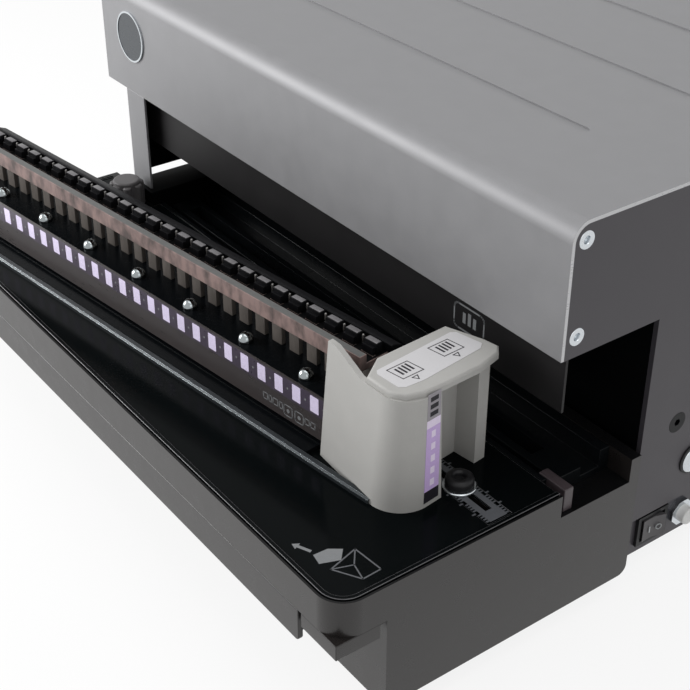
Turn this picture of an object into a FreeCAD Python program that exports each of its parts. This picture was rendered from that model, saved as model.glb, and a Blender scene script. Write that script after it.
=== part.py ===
"""Electric binding punch for comb bound books, with its exchangeable die set lying on the table.

Millimetres. X runs to the right, Y to the rear and Z up. The origin is the centre of the footprint on the
surface that the machine stands on. The die set has its own directions: u along the die towards its handle,
w towards the rear and h above the table.
"""
import FreeCAD, Part
import math
import os

V = FreeCAD.Vector

# Outer sizes of the machine
HEAD_HALF_W = 230.0
BASE_SIDE_REACH = 8.0
BASE_HALF_W = HEAD_HALF_W + BASE_SIDE_REACH
BASE_FRONT_Y = -220.0
COVER_FRONT_Y = -79.0
COVER_REAR_Y = 220.0
HEAD_TOP_Z = 248.0
HEAD_FRONT_H = 75.0
HEAD_BOTTOM_Z = HEAD_TOP_Z - HEAD_FRONT_H

# General clearances between pieces
SLIP = 0.2
LOOSE = 0.3
BEARING_GAP = 0.06

# Base housing
BASE_WALL = 3.0
BASE_REAR_Y = -18.5
BASE_BOTTOM_Z = 12.5
SEAM_Z = 72.3
SKIRT_TOP_Z = 94.2
SKIRT_CORNER_R = 16.0
DEEP_FRONT_Y = -189.5
REAR_LOW_EDGE_R = 6.0
DECK_T = 2.6
BRIDGE_W = 28.0
BRIDGE_RIGHT_X = 64.0 - BASE_HALF_W
BRIDGE_LEFT_X = BRIDGE_RIGHT_X - BRIDGE_W
BRIDGE_FRONT_Y = -82.0
BRIDGE_TOP_Z = 103.9
NOTCH_FRONT_Y = -76.0
NOTCH_REAR_Y = -25.7
NOTCH_FLOOR_Z = 80.0
SHOULDER_W = 16.0
SHOULDER_Z = 71.6
SHELL_LIP = 1.3

# Table plate
TABLE_Z = 93.8
TABLE_T = 2.1
RIM_H = 1.1
RIM_W = 2.5
RIM_GAP = 0.8
SCALE_Y = -113.4
SCALE_W = 15.6
SCALE_X = (BASE_HALF_W - 88.0, BASE_HALF_W - 6.4)
SCALE_T = 0.6
EDGE_SLOT_X = (BASE_HALF_W - 60.0, BASE_HALF_W - 15.0)
EDGE_SLOT_W = 4.2

# Chip drawer and what carries it
DRAWER_SIDE_INSET = 31.5
DRAWER_HALF_W = BASE_HALF_W - DRAWER_SIDE_INSET
DRAWER_FRONT_T = 3.0
DRAWER_FRONT_Z = (51.3, 71.7)
DRAWER_GAP = 2.5
DRAWER_CORNER_R = 2.5
TRAY_INSET = 5.9
TRAY_HALF_W = DRAWER_HALF_W - TRAY_INSET
TRAY_REAR_Y = -29.0
TRAY_TOP_Z = 69.5
TRAY_WALL = 2.0
SHELF_TOP_Z = 50.4
SHELF_T = 1.5
RUNNER_H = 7.6
RUNNER_T = 2.0
CHEEK_BOTTOM_Z = 63.0
CHEEK_REAR_Y = -193.4
HOUSING_T = 1.2
FLOOR_T = 2.0
FOOT_R = 15.0
FRONT_FOOT_X = BASE_HALF_W - 33.0
FRONT_FOOT_Y = (-160.0, -50.0)
REAR_FOOT_XY = (HEAD_HALF_W - 40.0, COVER_REAR_Y - 30.0)

# Rear chassis and side panels
PANEL_T = 3.2
PANEL_INSET = 0.3
PANEL_OUTER_X = HEAD_HALF_W - PANEL_INSET
PANEL_BOTTOM_Z = 38.0
THROAT_REAR_Y = -9.5
CHASSIS_T = 1.5
CHASSIS_BOTTOM_Z = 9.0
CHASSIS_SIDE_Z = 60.0
CHASSIS_FRONT_Y = -6.0
REAR_INSET = 2.2
REAR_T = 1.8
VENT_COUNT = 14
VENT_FIRST_X = 60.0 - HEAD_HALF_W
VENT_PITCH = 12.0
VENT_W = 5.0
VENT_Z = (HEAD_TOP_Z - 98.0, HEAD_TOP_Z - 43.0)

# Head cover
COVER_T = 2.0
COVER_BEND_R = 11.0
COVER_TAB_T = 1.5
COVER_TAB_D = 19.0
GROOVE_Y = 1.0
GROOVE_PITCH = 77.5
GROOVE_COUNT = 3
GROOVE_HALF_L = HEAD_HALF_W - 72.0
GROOVE_W = 6.0
GROOVE_D = 1.0
BADGE_XZ = (39.0 - HEAD_HALF_W, HEAD_TOP_Z - 34.5)
BADGE_R = 17.3
BADGE_RING_T = 1.2
BADGE_H = 0.8

# Throat
PILLAR_W = 24.0
PILLAR_X = (BRIDGE_LEFT_X - 2.0, BRIDGE_LEFT_X - 2.0 + PILLAR_W)
PILLAR_T = 1.8
PILLAR_RETURN = 12.0
CHEEK_PLATE_T = 2.0
CHEEK_PLATE_BOTTOM_Z = 108.6
GUARD_Y = -69.5
GUARD_T = 1.5
GUARD_BOTTOM_Z = HEAD_BOTTOM_Z - 37.0
GUARD_TOP_Z = HEAD_TOP_Z - 14.0
REAR_WALL_T = 1.5

# Screws of the panels
COVER_SCREW_HEAD_R = 4.9
COVER_SCREW_R = 2.5
COVER_SCREW_Y = (COVER_FRONT_Y + 9.8, COVER_REAR_Y - 15.0)
COVER_SCREW_Z = (HEAD_TOP_Z - 10.8, HEAD_BOTTOM_Z + 11.0)
COVER_SCREW_L = 4.8
SOCKET_SCREW_HEAD_R = 6.3
SOCKET_SCREW_R = 3.5
SOCKET_SCREW_YZ = (18.0, 96.0)
SOCKET_SCREW_GRIP = 9.0
SIDE_CAP_YZ = (35.5, 63.8)
SIDE_CAP_R = 9.8
SIDE_CAP_H = 2.8

# Press frame, ram and drive
FRAME_T = 12.0
FRAME_LEFT_X = 15.7 - HEAD_HALF_W
FRAME_RIGHT_X = HEAD_HALF_W - 17.4
FRAME_LEG_Y = (-4.0, 60.0)
FRAME_TOP_Z = HEAD_TOP_Z - 8.0
JAW_BOTTOM_Z = 52.0
LOWER_JAW_FRONT_Y = -75.0
UPPER_JAW_FRONT_Y = -64.0
UPPER_JAW_Z = HEAD_BOTTOM_Z + 3.0
FRAME_CORNER_R = 3.0
BEAM_Y = (8.0, 40.0)
BEAM_Z = (118.0, 156.0)
RAM_Y = (-64.0, -32.0)
RAM_Z = (HEAD_BOTTOM_Z - 10.0, HEAD_BOTTOM_Z + 7.0)
RAM_LEFT_X = FRAME_LEFT_X + FRAME_T + 3.7
RAM_RIGHT_X = FRAME_RIGHT_X - 3.8
RAM_PLATE_T = 5.6
RAM_PLATE_REAR_Y = -28.0
RAM_PLATE_TOP_Z = HEAD_TOP_Z - 10.0
RAM_STROKE = 12.0
GIB_T = 3.6
SHAFT_Y = -40.0
SHAFT_Z = HEAD_TOP_Z - 38.0
SHAFT_R = 8.0
SHAFT_END_GAP = 1.0
BUSH_WALL = 5.0
ECCENTRIC_R = 15.0
ECCENTRIC_W = 12.0
ECCENTRIC_X = (-78.0, 90.0)
YOKE_T = 10.0
YOKE_ARM = 4.5
YOKE_PLAY = 1.6
GEAR_MODULE = 1.5
GEAR_TEETH = 42
PINION_TEETH = 14
GEAR_FACE = 8.0
GEAR_X = 5.5 - HEAD_HALF_W
MOTOR_R = 25.0
MOTOR_L = 85.0
SPINDLE_R = 4.0

# Switch, breaker and inlet
SWITCH_YZ = (11.5, 25.0)
BEZEL_W = 24.0
BEZEL_H = 20.4
BEZEL_T = 2.2
ROCKER_W = 18.4
ROCKER_H = 14.8
ROCKER_GAP = 0.4
ROCKER_TILT = 8.0
ROCKER_BACK = 22.0
ROCKER_PIVOT_R = 1.5
ROCKER_PIVOT_L = 17.0
BREAKER_YZ = (34.6, 25.2)
COLLAR_R = 8.8
COLLAR_H = 4.0
BUTTON_R = 5.4
BUTTON_REACH = 9.6
BREAKER_BACK = 20.0
INLET_XZ = (HEAD_HALF_W - 50.0, 40.0)
INLET_W = 27.0
INLET_H = 19.6
INLET_FLANGE = 4.0
INLET_DEPTH = 22.0

# Die channel in the base
CHANNEL_X = (BRIDGE_RIGHT_X, BASE_HALF_W - 16.0)
CHANNEL_LIP_Y = (-75.6, -72.4)
CHANNEL_BAR_Y = (-65.6, -47.0)
CHANNEL_WALL_Y = (-33.3, -26.2)
CHANNEL_SLOT_Z = 82.4
CHANNEL_BAR_Z = 90.0
CHANNEL_TROUGH_Z = 84.2
CHANNEL_LIP_Z = 94.0
CHANNEL_WALL_Z = 94.9
CHIP_SLOT_X = (BRIDGE_RIGHT_X + 14.0, BASE_HALF_W - 40.0)
CHIP_SLOT_Y = (-60.6, -51.0)
STOP_X = (BASE_HALF_W - 22.4, BASE_HALF_W - 2.5)
STOP_Z = 94.4

# Edge guide and margin knob
EDGE_KNOB_X = BASE_HALF_W - 38.0
EDGE_RING_R = 9.2
EDGE_RING_H = 1.6
EDGE_KNOB_R = 7.8
EDGE_KNOB_TOP_Z = 101.4
EDGE_STEM_R = 1.9
EDGE_NUT_L = 16.0
EDGE_NUT_W = 9.0
EDGE_NUT_T = 3.0
MARGIN_KNOB_XY = (52.5 - BASE_HALF_W, -95.0)
MARGIN_KNOB_R = 9.6
MARGIN_KNOB_Z = (94.2, 114.5)
MARGIN_LOBES = 7
MARGIN_LOBE_R = 3.2
MARGIN_LOBE_REACH = 9.0
MARGIN_LOBE_DROP = 2.4
MARGIN_SPINDLE_R = 3.0

# Control board
BOARD_X = (20.0, 150.0)
BOARD_Y = (90.0, 180.0)
BOARD_T = 1.6
RELAY = ((40.0, 68.0), (102.0, 116.0), 16.0)
RECTIFIER = ((80.0, 86.0), (104.0, 134.0), 28.0)
TERMINALS = ((40.0, 110.0), (166.0, 174.0), 10.0)
CAPACITOR_XY = (115.0, 120.0)
CAPACITOR_R = 11.0
CAPACITOR_H = 32.0
STANDOFF_H = 8.0
STANDOFF_R = 3.5
STANDOFF_INSET = 6.0

# Die set, in its own directions
DIE_ORIGIN = (BASE_HALF_W - 36.5, -129.5)
DIE_YAW = 7.3
DIE_REST_GAP = 0.05
DIE_LEFT_U = -430.0
BLOCK_RIGHT_U = -24.4
DIE_BASE_RIGHT_U = -26.0
DIE_FRONT_W = -13.8
DIE_REAR_W = 23.5
DIE_BASE_H = 3.0
PAPER_SLOT_H = 2.6
PAPER_STOP_W = 12.0
BLOCK_H = 28.9
FLANGE_H = 2.4
FLANGE_RIGHT_U = -74.0
STRIP_H = 3.2
STRIP_W = 4.6
STRIP_REAR_W = -23.6
STRIP_RIGHT_U = -22.0
PIN_COUNT = 26
PIN_PITCH = 14.2875
PIN_LAST_U = -56.6
PIN_W = 8.0
PIN_T = 3.0
PIN_FRONT_W = 4.8
PIN_FIT = 0.05
PIN_DOWN_H = 1.4
PIN_HEAD_W = 9.4
PIN_HEAD_T = 4.7
PIN_HEAD_FRONT_W = 6.6
PIN_HEAD_TOP_H = 67.2
PRESS_TRAVEL = 11.2
DOME_R = 4.5
DOME_RIM_H = 0.9
DOME_W = -6.7
DOME_FIRST_U = -91.3
DOME_PITCH = 50.0
DOME_COUNT = 7
DOME_SHANK_R = 2.0
DOME_SHANK_L = 6.0
RETAINER_RIGHT_U = -50.0
RETAINER_FRONT_W = -7.0
RETAINER_REAR_W = 21.0
RETAINER_WALL = 5.0
RETAINER_H = 56.8
RETAINER_FLOOR_H = 60.8
RETAINER_TOP_H = 66.2
RAIL_RIGHT_U = -46.8
RAIL_FRONT_W = 12.8
RAIL_EDGE_W = 14.7
RAIL_REAR_H = 63.4

# Handle of the die set
HANDLE_H = 65.0
HANDLE_PLATE_H = (64.6, 68.6)
HANDLE_WALL = 3.2
HANDLE_EAR_H = 72.6
HANDLE_EAR_U = -58.5
HANDLE_SLOPE_U = -38.0
HANDLE_FOOT_CORNER_R = 19.5
HANDLE_TOP_CORNER_R = 15.5
HANDLE_FOOT_LEFT = (-69.1, -17.5)
HANDLE_TOP_LEFT = (-65.3, -14.5)
HANDLE_FOOT_RIGHT_U = 0.0
HANDLE_TOP_RIGHT_U = -3.0
HANDLE_FOOT_ANGLE = -11.7
HANDLE_TOP_ANGLE = -7.2
GRIP_FRONT_W = 3.0
GRIP_LEFT_U = -22.0
FIN_FRONT_W = 36.5
FIN_REAR_W = 44.5
FIN_RIGHT_U = -7.5
HANDLE_LEFT_U = -42.0


def box(x, y, z):
    """Box between the low and high values of each pair."""
    return Part.makeBox(x[1] - x[0], y[1] - y[0], z[1] - z[0], V(x[0], y[0], z[0]))


def mirrored_span(half):
    return (-half, half)


def cylinder(radius, start, direction, length):
    return Part.makeCylinder(radius, length, V(*start), V(*direction))


def cylinder_x(radius, x, y, z):
    return cylinder(radius, (x[0], y, z), (1, 0, 0), x[1] - x[0])


def cylinder_z(radius, x, y, z):
    return cylinder(radius, (x, y, z[0]), (0, 0, 1), z[1] - z[0])


def prism_x(points_yz, x):
    """Closed outline in Y and Z, drawn along X."""
    wire = Part.makePolygon([V(x[0], y, z) for y, z in points_yz + points_yz[:1]])
    return Part.Face(wire).extrude(V(x[1] - x[0], 0, 0))


def prism_z(points_xy, z):
    """Closed outline in X and Y, drawn along Z."""
    wire = Part.makePolygon([V(x, y, z[0]) for x, y in points_xy + points_xy[:1]])
    return Part.Face(wire).extrude(V(0, 0, z[1] - z[0]))


def fuse(*shapes):
    return shapes[0].multiFuse(list(shapes[1:])).removeSplitter()


def round_edges(shape, radius, wanted):
    """Fillet the straight edges whose centre passes the test."""
    edges = [edge for edge in shape.Edges if wanted(edge)]
    return shape.makeFillet(radius, edges)


def runs_along(edge, direction):
    ends = [vertex.Point for vertex in edge.Vertexes]
    if len(ends) < 2:
        return False
    step = ends[1].sub(ends[0])
    return step.cross(V(*direction)).Length < 1e-6 * max(step.Length, 1.0)


def rounded_block(x, y, z, radius, corners):
    """Box whose upright edges near the listed corners are round."""
    def wanted(edge):
        middle = edge.CenterOfMass
        near = [abs(middle.x - cx) < 0.01 and abs(middle.y - cy) < 0.01 for cx, cy in corners]
        return runs_along(edge, (0, 0, 1)) and any(near)
    return round_edges(box(x, y, z), radius, wanted)


def on_both_sides(shape):
    return fuse_apart([shape, shape.mirror(V(0, 0, 0), V(1, 0, 0))])


def fuse_apart(shapes):
    """Group of separate solids in one node."""
    return Part.makeCompound([solid for shape in shapes for solid in shape.Solids])


def save(shape, name):
    os.makedirs("parts", exist_ok=True)
    shape.exportStep("parts/" + name + ".step")


# Values that several pieces share

PANEL_INNER_X = PANEL_OUTER_X - PANEL_T
CHASSIS_HALF_W = PANEL_INNER_X - 0.1
CHASSIS_INNER_X = CHASSIS_HALF_W - CHASSIS_T
REAR_PANEL_Y = (COVER_REAR_Y - REAR_INSET - REAR_T, COVER_REAR_Y - REAR_INSET)
FRAME_LEFT_SPAN = (FRAME_LEFT_X, FRAME_LEFT_X + FRAME_T)
FRAME_RIGHT_SPAN = (FRAME_RIGHT_X, FRAME_RIGHT_X + FRAME_T)
CHEEK_PLATE_X = (FRAME_LEFT_SPAN[1] - CHEEK_PLATE_T, FRAME_LEFT_SPAN[1])
BUSH_R = SHAFT_R + BEARING_GAP + BUSH_WALL
ECCENTRIC_OFFSET = RAM_STROKE / 2
GEAR_R = GEAR_MODULE * GEAR_TEETH / 2
PINION_R = GEAR_MODULE * PINION_TEETH / 2
MOTOR_Y = SHAFT_Y + GEAR_R + PINION_R
SHELL_INNER_X = BASE_HALF_W - BASE_WALL
DECK_UNDER_Z = TABLE_Z - TABLE_T - DECK_T
TROUGH_UNDER_Z = NOTCH_FLOOR_Z - DECK_T
TABLE_HALF_W = BASE_HALF_W - SHELL_LIP - RIM_GAP
TABLE_FRONT_Y = BASE_FRONT_Y + SHELL_LIP + RIM_GAP
DRAWER_BAY_HALF_W = DRAWER_HALF_W + DRAWER_GAP
EDGE_FLOOR_Z = TABLE_Z - SCALE_T


# Base housing

def frame_jaw_slots():
    y = (BASE_REAR_Y - BASE_WALL - 1.0, BASE_REAR_Y + 1.0)
    z = (JAW_BOTTOM_Z - LOOSE, TROUGH_UNDER_Z)
    spans = (FRAME_LEFT_SPAN, FRAME_RIGHT_SPAN)
    return [box((low - LOOSE, high + LOOSE), y, z) for low, high in spans]


def base_shell():
    front_corners = [(side * BASE_HALF_W, BASE_FRONT_Y) for side in (-1, 1)]
    width = mirrored_span(BASE_HALF_W)
    skirt = rounded_block(width, (BASE_FRONT_Y, BASE_REAR_Y), (SEAM_Z, SKIRT_TOP_Z), SKIRT_CORNER_R,
                          front_corners)
    deep = box(width, (DEEP_FRONT_Y, BASE_REAR_Y), (BASE_BOTTOM_Z, SEAM_Z))
    rear_lip = box((BRIDGE_RIGHT_X, BASE_HALF_W), (NOTCH_REAR_Y, BASE_REAR_Y),
                   (SKIRT_TOP_Z, TABLE_Z + RIM_H))
    shell = fuse(skirt, deep, rear_lip)

    def low_rear(edge):
        middle = edge.CenterOfMass
        on_edge = abs(middle.y - BASE_REAR_Y) < 0.01 and abs(middle.z - BASE_BOTTOM_Z) < 0.01
        return runs_along(edge, (1, 0, 0)) and on_edge
    shell = round_edges(shell, REAR_LOW_EDGE_R, low_rear)

    inner_x = mirrored_span(SHELL_INNER_X)
    deep_room = box(inner_x, (DEEP_FRONT_Y + BASE_WALL, BASE_REAR_Y - BASE_WALL),
                    (BASE_BOTTOM_Z - 1.0, TROUGH_UNDER_Z))
    corner_r = SKIRT_CORNER_R - BASE_WALL
    inner_corners = [(side * SHELL_INNER_X, BASE_FRONT_Y + BASE_WALL) for side in (-1, 1)]
    skirt_room = rounded_block(inner_x, (BASE_FRONT_Y + BASE_WALL, NOTCH_FRONT_Y - DECK_T),
                               (SEAM_Z - 0.01, DECK_UNDER_Z), corner_r, inner_corners)
    pocket_half = BASE_HALF_W - SHELL_LIP
    pocket_front = BASE_FRONT_Y + SHELL_LIP
    pocket_corners = [(side * pocket_half, pocket_front) for side in (-1, 1)]
    pocket = rounded_block(mirrored_span(pocket_half), (pocket_front, BRIDGE_FRONT_Y),
                           (TABLE_Z - TABLE_T, SKIRT_TOP_Z + 1.0), SKIRT_CORNER_R - SHELL_LIP,
                           pocket_corners)
    pocket_rear = box((BRIDGE_RIGHT_X, pocket_half), (BRIDGE_FRONT_Y - 1.0, NOTCH_FRONT_Y + 1.0),
                      (TABLE_Z - TABLE_T, SKIRT_TOP_Z + 1.0))
    notch = box((BRIDGE_RIGHT_X, BASE_HALF_W + 1.0), (NOTCH_FRONT_Y, NOTCH_REAR_Y),
                (NOTCH_FLOOR_Z, BRIDGE_TOP_Z))
    left_notch = box((-BASE_HALF_W - 1.0, BRIDGE_RIGHT_X + 1.0), (NOTCH_FRONT_Y, BASE_REAR_Y + 1.0),
                     (NOTCH_FLOOR_Z, BRIDGE_TOP_Z))
    chip_slot = box(CHIP_SLOT_X, CHIP_SLOT_Y, (TROUGH_UNDER_Z - 1.0, NOTCH_FLOOR_Z + 1.0))
    drawer_door = box(mirrored_span(DRAWER_BAY_HALF_W), (DEEP_FRONT_Y - 1.0, DEEP_FRONT_Y + BASE_WALL + 1.0),
                      (SHELF_TOP_Z, SEAM_Z + 1.0))
    edge_slot = box((EDGE_SLOT_X[0] - EDGE_NUT_L / 2, EDGE_SLOT_X[1]),
                    (SCALE_Y - EDGE_SLOT_W / 2, SCALE_Y + EDGE_SLOT_W / 2),
                    (DECK_UNDER_Z - 1.0, TABLE_Z))
    spindle_hole = cylinder_z(MARGIN_SPINDLE_R + BEARING_GAP, *MARGIN_KNOB_XY, (DECK_UNDER_Z - 1.0, TABLE_Z))
    tools = [deep_room, skirt_room, pocket, pocket_rear, notch, left_notch, chip_slot, drawer_door,
             edge_slot, spindle_hole]
    for tool in tools + frame_jaw_slots():
        shell = shell.cut(tool)
    return with_left_shoulder(shell)


def with_left_shoulder(shell):
    """Steps the left end down behind the table, where wide sheets hang over."""
    inner = SHOULDER_W - BASE_HALF_W
    under_z = SHOULDER_Z - DECK_T
    span_x = (-BASE_HALF_W, inner + DECK_T)
    wall_y = (NOTCH_FRONT_Y - DECK_T, NOTCH_FRONT_Y)
    ledge = box(span_x, (wall_y[0], BASE_REAR_Y), (under_z, SHOULDER_Z))
    riser = box((inner, inner + DECK_T), (wall_y[0], BASE_REAR_Y), (under_z, NOTCH_FLOOR_Z))
    front_riser = box(span_x, wall_y, (under_z, NOTCH_FLOOR_Z))
    step = box((-BASE_HALF_W - 1.0, inner), (NOTCH_FRONT_Y, BASE_REAR_Y + 1.0), (SHOULDER_Z, BRIDGE_TOP_Z))
    return fuse(shell, ledge, riser, front_riser).cut(step)


def bridge_block():
    """Block beside the left end of the die channel, which carries the left pillar."""
    x = (BRIDGE_LEFT_X, BRIDGE_RIGHT_X)
    foot = box(x, (NOTCH_FRONT_Y, BASE_REAR_Y), (NOTCH_FLOOR_Z, BRIDGE_TOP_Z))
    nose = box(x, (BRIDGE_FRONT_Y, NOTCH_FRONT_Y + 1.0), (SKIRT_TOP_Z, BRIDGE_TOP_Z))
    return fuse(foot, nose)


def table_outline(inset, z):
    """Plan of the table plate, drawn in from its edge at the front and the sides."""
    half = TABLE_HALF_W - inset
    front = TABLE_FRONT_Y + inset
    radius = SKIRT_CORNER_R - SHELL_LIP - RIM_GAP - inset
    corners = [(-half, front), (half, front)]
    plate = rounded_block(mirrored_span(half), (front, NOTCH_FRONT_Y), z, radius, corners)
    for_bridge = box((-BASE_HALF_W, BRIDGE_RIGHT_X + SLIP), (BRIDGE_FRONT_Y - SLIP, NOTCH_FRONT_Y + 1.0),
                     (z[0] - 1.0, z[1] + 1.0))
    return plate.cut(for_bridge)


def table_top():
    plate = table_outline(0.0, (TABLE_Z - TABLE_T, TABLE_Z + RIM_H))
    dish = table_outline(RIM_W, (TABLE_Z, TABLE_Z + RIM_H + 1.0))
    dish = fuse(dish, dish.translated(V(0, 1.0, 0)))
    plate = plate.cut(dish)
    recess = box(SCALE_X, (SCALE_Y - SCALE_W / 2, SCALE_Y + SCALE_W / 2), (EDGE_FLOOR_Z, TABLE_Z + 1.0))
    slot = box((EDGE_SLOT_X[0], EDGE_SLOT_X[1]), (SCALE_Y - EDGE_SLOT_W / 2, SCALE_Y + EDGE_SLOT_W / 2),
               (TABLE_Z - TABLE_T - 1.0, TABLE_Z))
    spindle_hole = cylinder_z(MARGIN_SPINDLE_R + LOOSE, *MARGIN_KNOB_XY, (DECK_UNDER_Z, TABLE_Z + 1.0))
    for tool in (recess, slot, spindle_hole):
        plate = plate.cut(tool)
    return plate


def scale_strip():
    gap = 0.1
    strip = box((SCALE_X[0] + gap, SCALE_X[1] - gap),
                (SCALE_Y - SCALE_W / 2 + gap, SCALE_Y + SCALE_W / 2 - gap), (EDGE_FLOOR_Z, TABLE_Z))
    slot = box(EDGE_SLOT_X, (SCALE_Y - EDGE_SLOT_W / 2, SCALE_Y + EDGE_SLOT_W / 2),
               (EDGE_FLOOR_Z - 1.0, TABLE_Z + 1.0))
    return strip.cut(slot)


def drawer_housing():
    """Plate over the drawer with a square cornered cheek at each side."""
    top = box(mirrored_span(BASE_HALF_W), (BASE_FRONT_Y + DRAWER_FRONT_T + LOOSE, DEEP_FRONT_Y),
              (SEAM_Z - HOUSING_T, SEAM_Z))
    cheek = box((DRAWER_BAY_HALF_W, BASE_HALF_W), (BASE_FRONT_Y, CHEEK_REAR_Y), (CHEEK_BOTTOM_Z, SEAM_Z))
    return fuse(top, cheek, cheek.mirror(V(0, 0, 0), V(1, 0, 0)))


def drawer_shelf():
    """Bent plate that stands on the base floor and carries the drawer between two runners."""
    half = SHELL_INNER_X - SLIP
    y = (DEEP_FRONT_Y + BASE_WALL + SLIP, BASE_REAR_Y - BASE_WALL - SLIP)
    plate = box(mirrored_span(half), y, (SHELF_TOP_Z - SHELF_T, SHELF_TOP_Z))
    leg = box((half - SHELF_T, half), y, (BASE_BOTTOM_Z + SLIP + FLOOR_T, SHELF_TOP_Z))
    runner_x = TRAY_HALF_W + 0.5
    runner = box((runner_x, runner_x + RUNNER_T), (y[0], LOWER_JAW_FRONT_Y - 5.0),
                 (SHELF_TOP_Z, SHELF_TOP_Z + RUNNER_H))
    sides = [leg, leg.mirror(V(0, 0, 0), V(1, 0, 0)), runner, runner.mirror(V(0, 0, 0), V(1, 0, 0))]
    return fuse(plate, *sides)


def base_floor():
    half = SHELL_INNER_X - SLIP
    y = (DEEP_FRONT_Y + BASE_WALL + SLIP, BASE_REAR_Y - BASE_WALL - SLIP)
    z = BASE_BOTTOM_Z + SLIP
    return box(mirrored_span(half), y, (z, z + FLOOR_T))


def rubber_foot(x, y, top_z):
    return Part.makeCone(FOOT_R - 2.0, FOOT_R, top_z, V(x, y, 0))


def rubber_feet():
    feet = [rubber_foot(side * FRONT_FOOT_X, y, BASE_BOTTOM_Z + SLIP) for side in (-1, 1) for y in FRONT_FOOT_Y]
    x, y = REAR_FOOT_XY
    feet += [rubber_foot(side * x, y, CHASSIS_BOTTOM_Z) for side in (-1, 1)]
    return fuse_apart(feet)


# Chip drawer

def chip_drawer():
    y = (BASE_FRONT_Y + DRAWER_FRONT_T, TRAY_REAR_Y)
    z = (SHELF_TOP_Z + LOOSE, TRAY_TOP_Z)
    corners = [(side * TRAY_HALF_W, y[1]) for side in (-1, 1)]
    tray = rounded_block(mirrored_span(TRAY_HALF_W), y, z, 4.0, corners)
    inner_half = TRAY_HALF_W - TRAY_WALL
    inner_corners = [(side * inner_half, y[1] - TRAY_WALL) for side in (-1, 1)]
    room = rounded_block(mirrored_span(inner_half), (y[0] + TRAY_WALL, y[1] - TRAY_WALL),
                         (z[0] + TRAY_WALL, z[1] + 1.0), 2.0, inner_corners)
    return tray.cut(room)


def drawer_front():
    front = box(mirrored_span(DRAWER_HALF_W), (BASE_FRONT_Y, BASE_FRONT_Y + DRAWER_FRONT_T), DRAWER_FRONT_Z)

    def low_corner(edge):
        return runs_along(edge, (0, 1, 0)) and abs(edge.CenterOfMass.z - DRAWER_FRONT_Z[0]) < 0.01
    return round_edges(front, DRAWER_CORNER_R, low_corner)


# Head and rear chassis

def head_cover():
    """One bent sheet over the front and the top, with a tab behind each side panel."""
    width = mirrored_span(HEAD_HALF_W)
    outer = box(width, (COVER_FRONT_Y, COVER_REAR_Y), (HEAD_BOTTOM_Z, HEAD_TOP_Z))
    inner = box((-HEAD_HALF_W - 1.0, HEAD_HALF_W + 1.0), (COVER_FRONT_Y + COVER_T, COVER_REAR_Y + 1.0),
                (HEAD_BOTTOM_Z - 1.0, HEAD_TOP_Z - COVER_T))

    def bend_at(y, z):
        def wanted(edge):
            middle = edge.CenterOfMass
            on_edge = abs(middle.y - y) < 0.01 and abs(middle.z - z) < 0.01
            return runs_along(edge, (1, 0, 0)) and on_edge
        return wanted
    outer = round_edges(outer, COVER_BEND_R, bend_at(COVER_FRONT_Y, HEAD_TOP_Z))
    inner = round_edges(inner, COVER_BEND_R - COVER_T,
                        bend_at(COVER_FRONT_Y + COVER_T, HEAD_TOP_Z - COVER_T))
    sheet = outer.cut(inner)
    for number in range(GROOVE_COUNT):
        y = GROOVE_Y + number * GROOVE_PITCH
        sheet = sheet.fuse(pressed_groove(y, GROOVE_W / 2 + GROOVE_D, (HEAD_TOP_Z - COVER_T - GROOVE_D,
                                                                     HEAD_TOP_Z - COVER_T)))
        sheet = sheet.cut(pressed_groove(y, GROOVE_W / 2, (HEAD_TOP_Z - GROOVE_D, HEAD_TOP_Z + 1.0)))
    tab_x = (CHASSIS_HALF_W - COVER_TAB_T, CHASSIS_HALF_W)
    tab = box(tab_x, (COVER_FRONT_Y + COVER_T, COVER_FRONT_Y + COVER_T + COVER_TAB_D),
              (HEAD_BOTTOM_Z + 4.0, HEAD_TOP_Z - COVER_BEND_R))
    tab_rear = box(tab_x, (COVER_SCREW_Y[1] - COVER_TAB_D / 2, COVER_SCREW_Y[1] + COVER_TAB_D / 2),
                   (HEAD_BOTTOM_Z + 4.0, HEAD_TOP_Z - COVER_T))
    tabs = fuse_apart([tab, tab_rear])
    for hole in cover_screw_holes():
        tabs = tabs.cut(hole)
    return fuse(sheet, *tabs.Solids, *tabs.mirror(V(0, 0, 0), V(1, 0, 0)).Solids)


def pressed_groove(y, radius, z):
    """Long round-ended recess across the top of the cover."""
    straight = box(mirrored_span(GROOVE_HALF_L - radius), (y - radius, y + radius), z)
    ends = [cylinder_z(radius, side * (GROOVE_HALF_L - radius), y, z) for side in (-1, 1)]
    return fuse(straight, *ends)


def cover_screw_places():
    return [(y, z) for y in COVER_SCREW_Y for z in COVER_SCREW_Z]


def cover_screw_holes():
    x = (CHASSIS_HALF_W - COVER_TAB_T - 1.0, PANEL_OUTER_X + 1.0)
    return [cylinder_x(COVER_SCREW_R + SLIP, x, y, z) for y, z in cover_screw_places()]


def countersink(radius, shank_r, y, z, gap):
    """Cone for a flat head that ends flush with the outer face of the right side panel."""
    depth = radius - shank_r
    return Part.makeCone(shank_r + gap, radius + gap, depth, V(PANEL_OUTER_X - depth, y, z), V(1, 0, 0))


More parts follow.
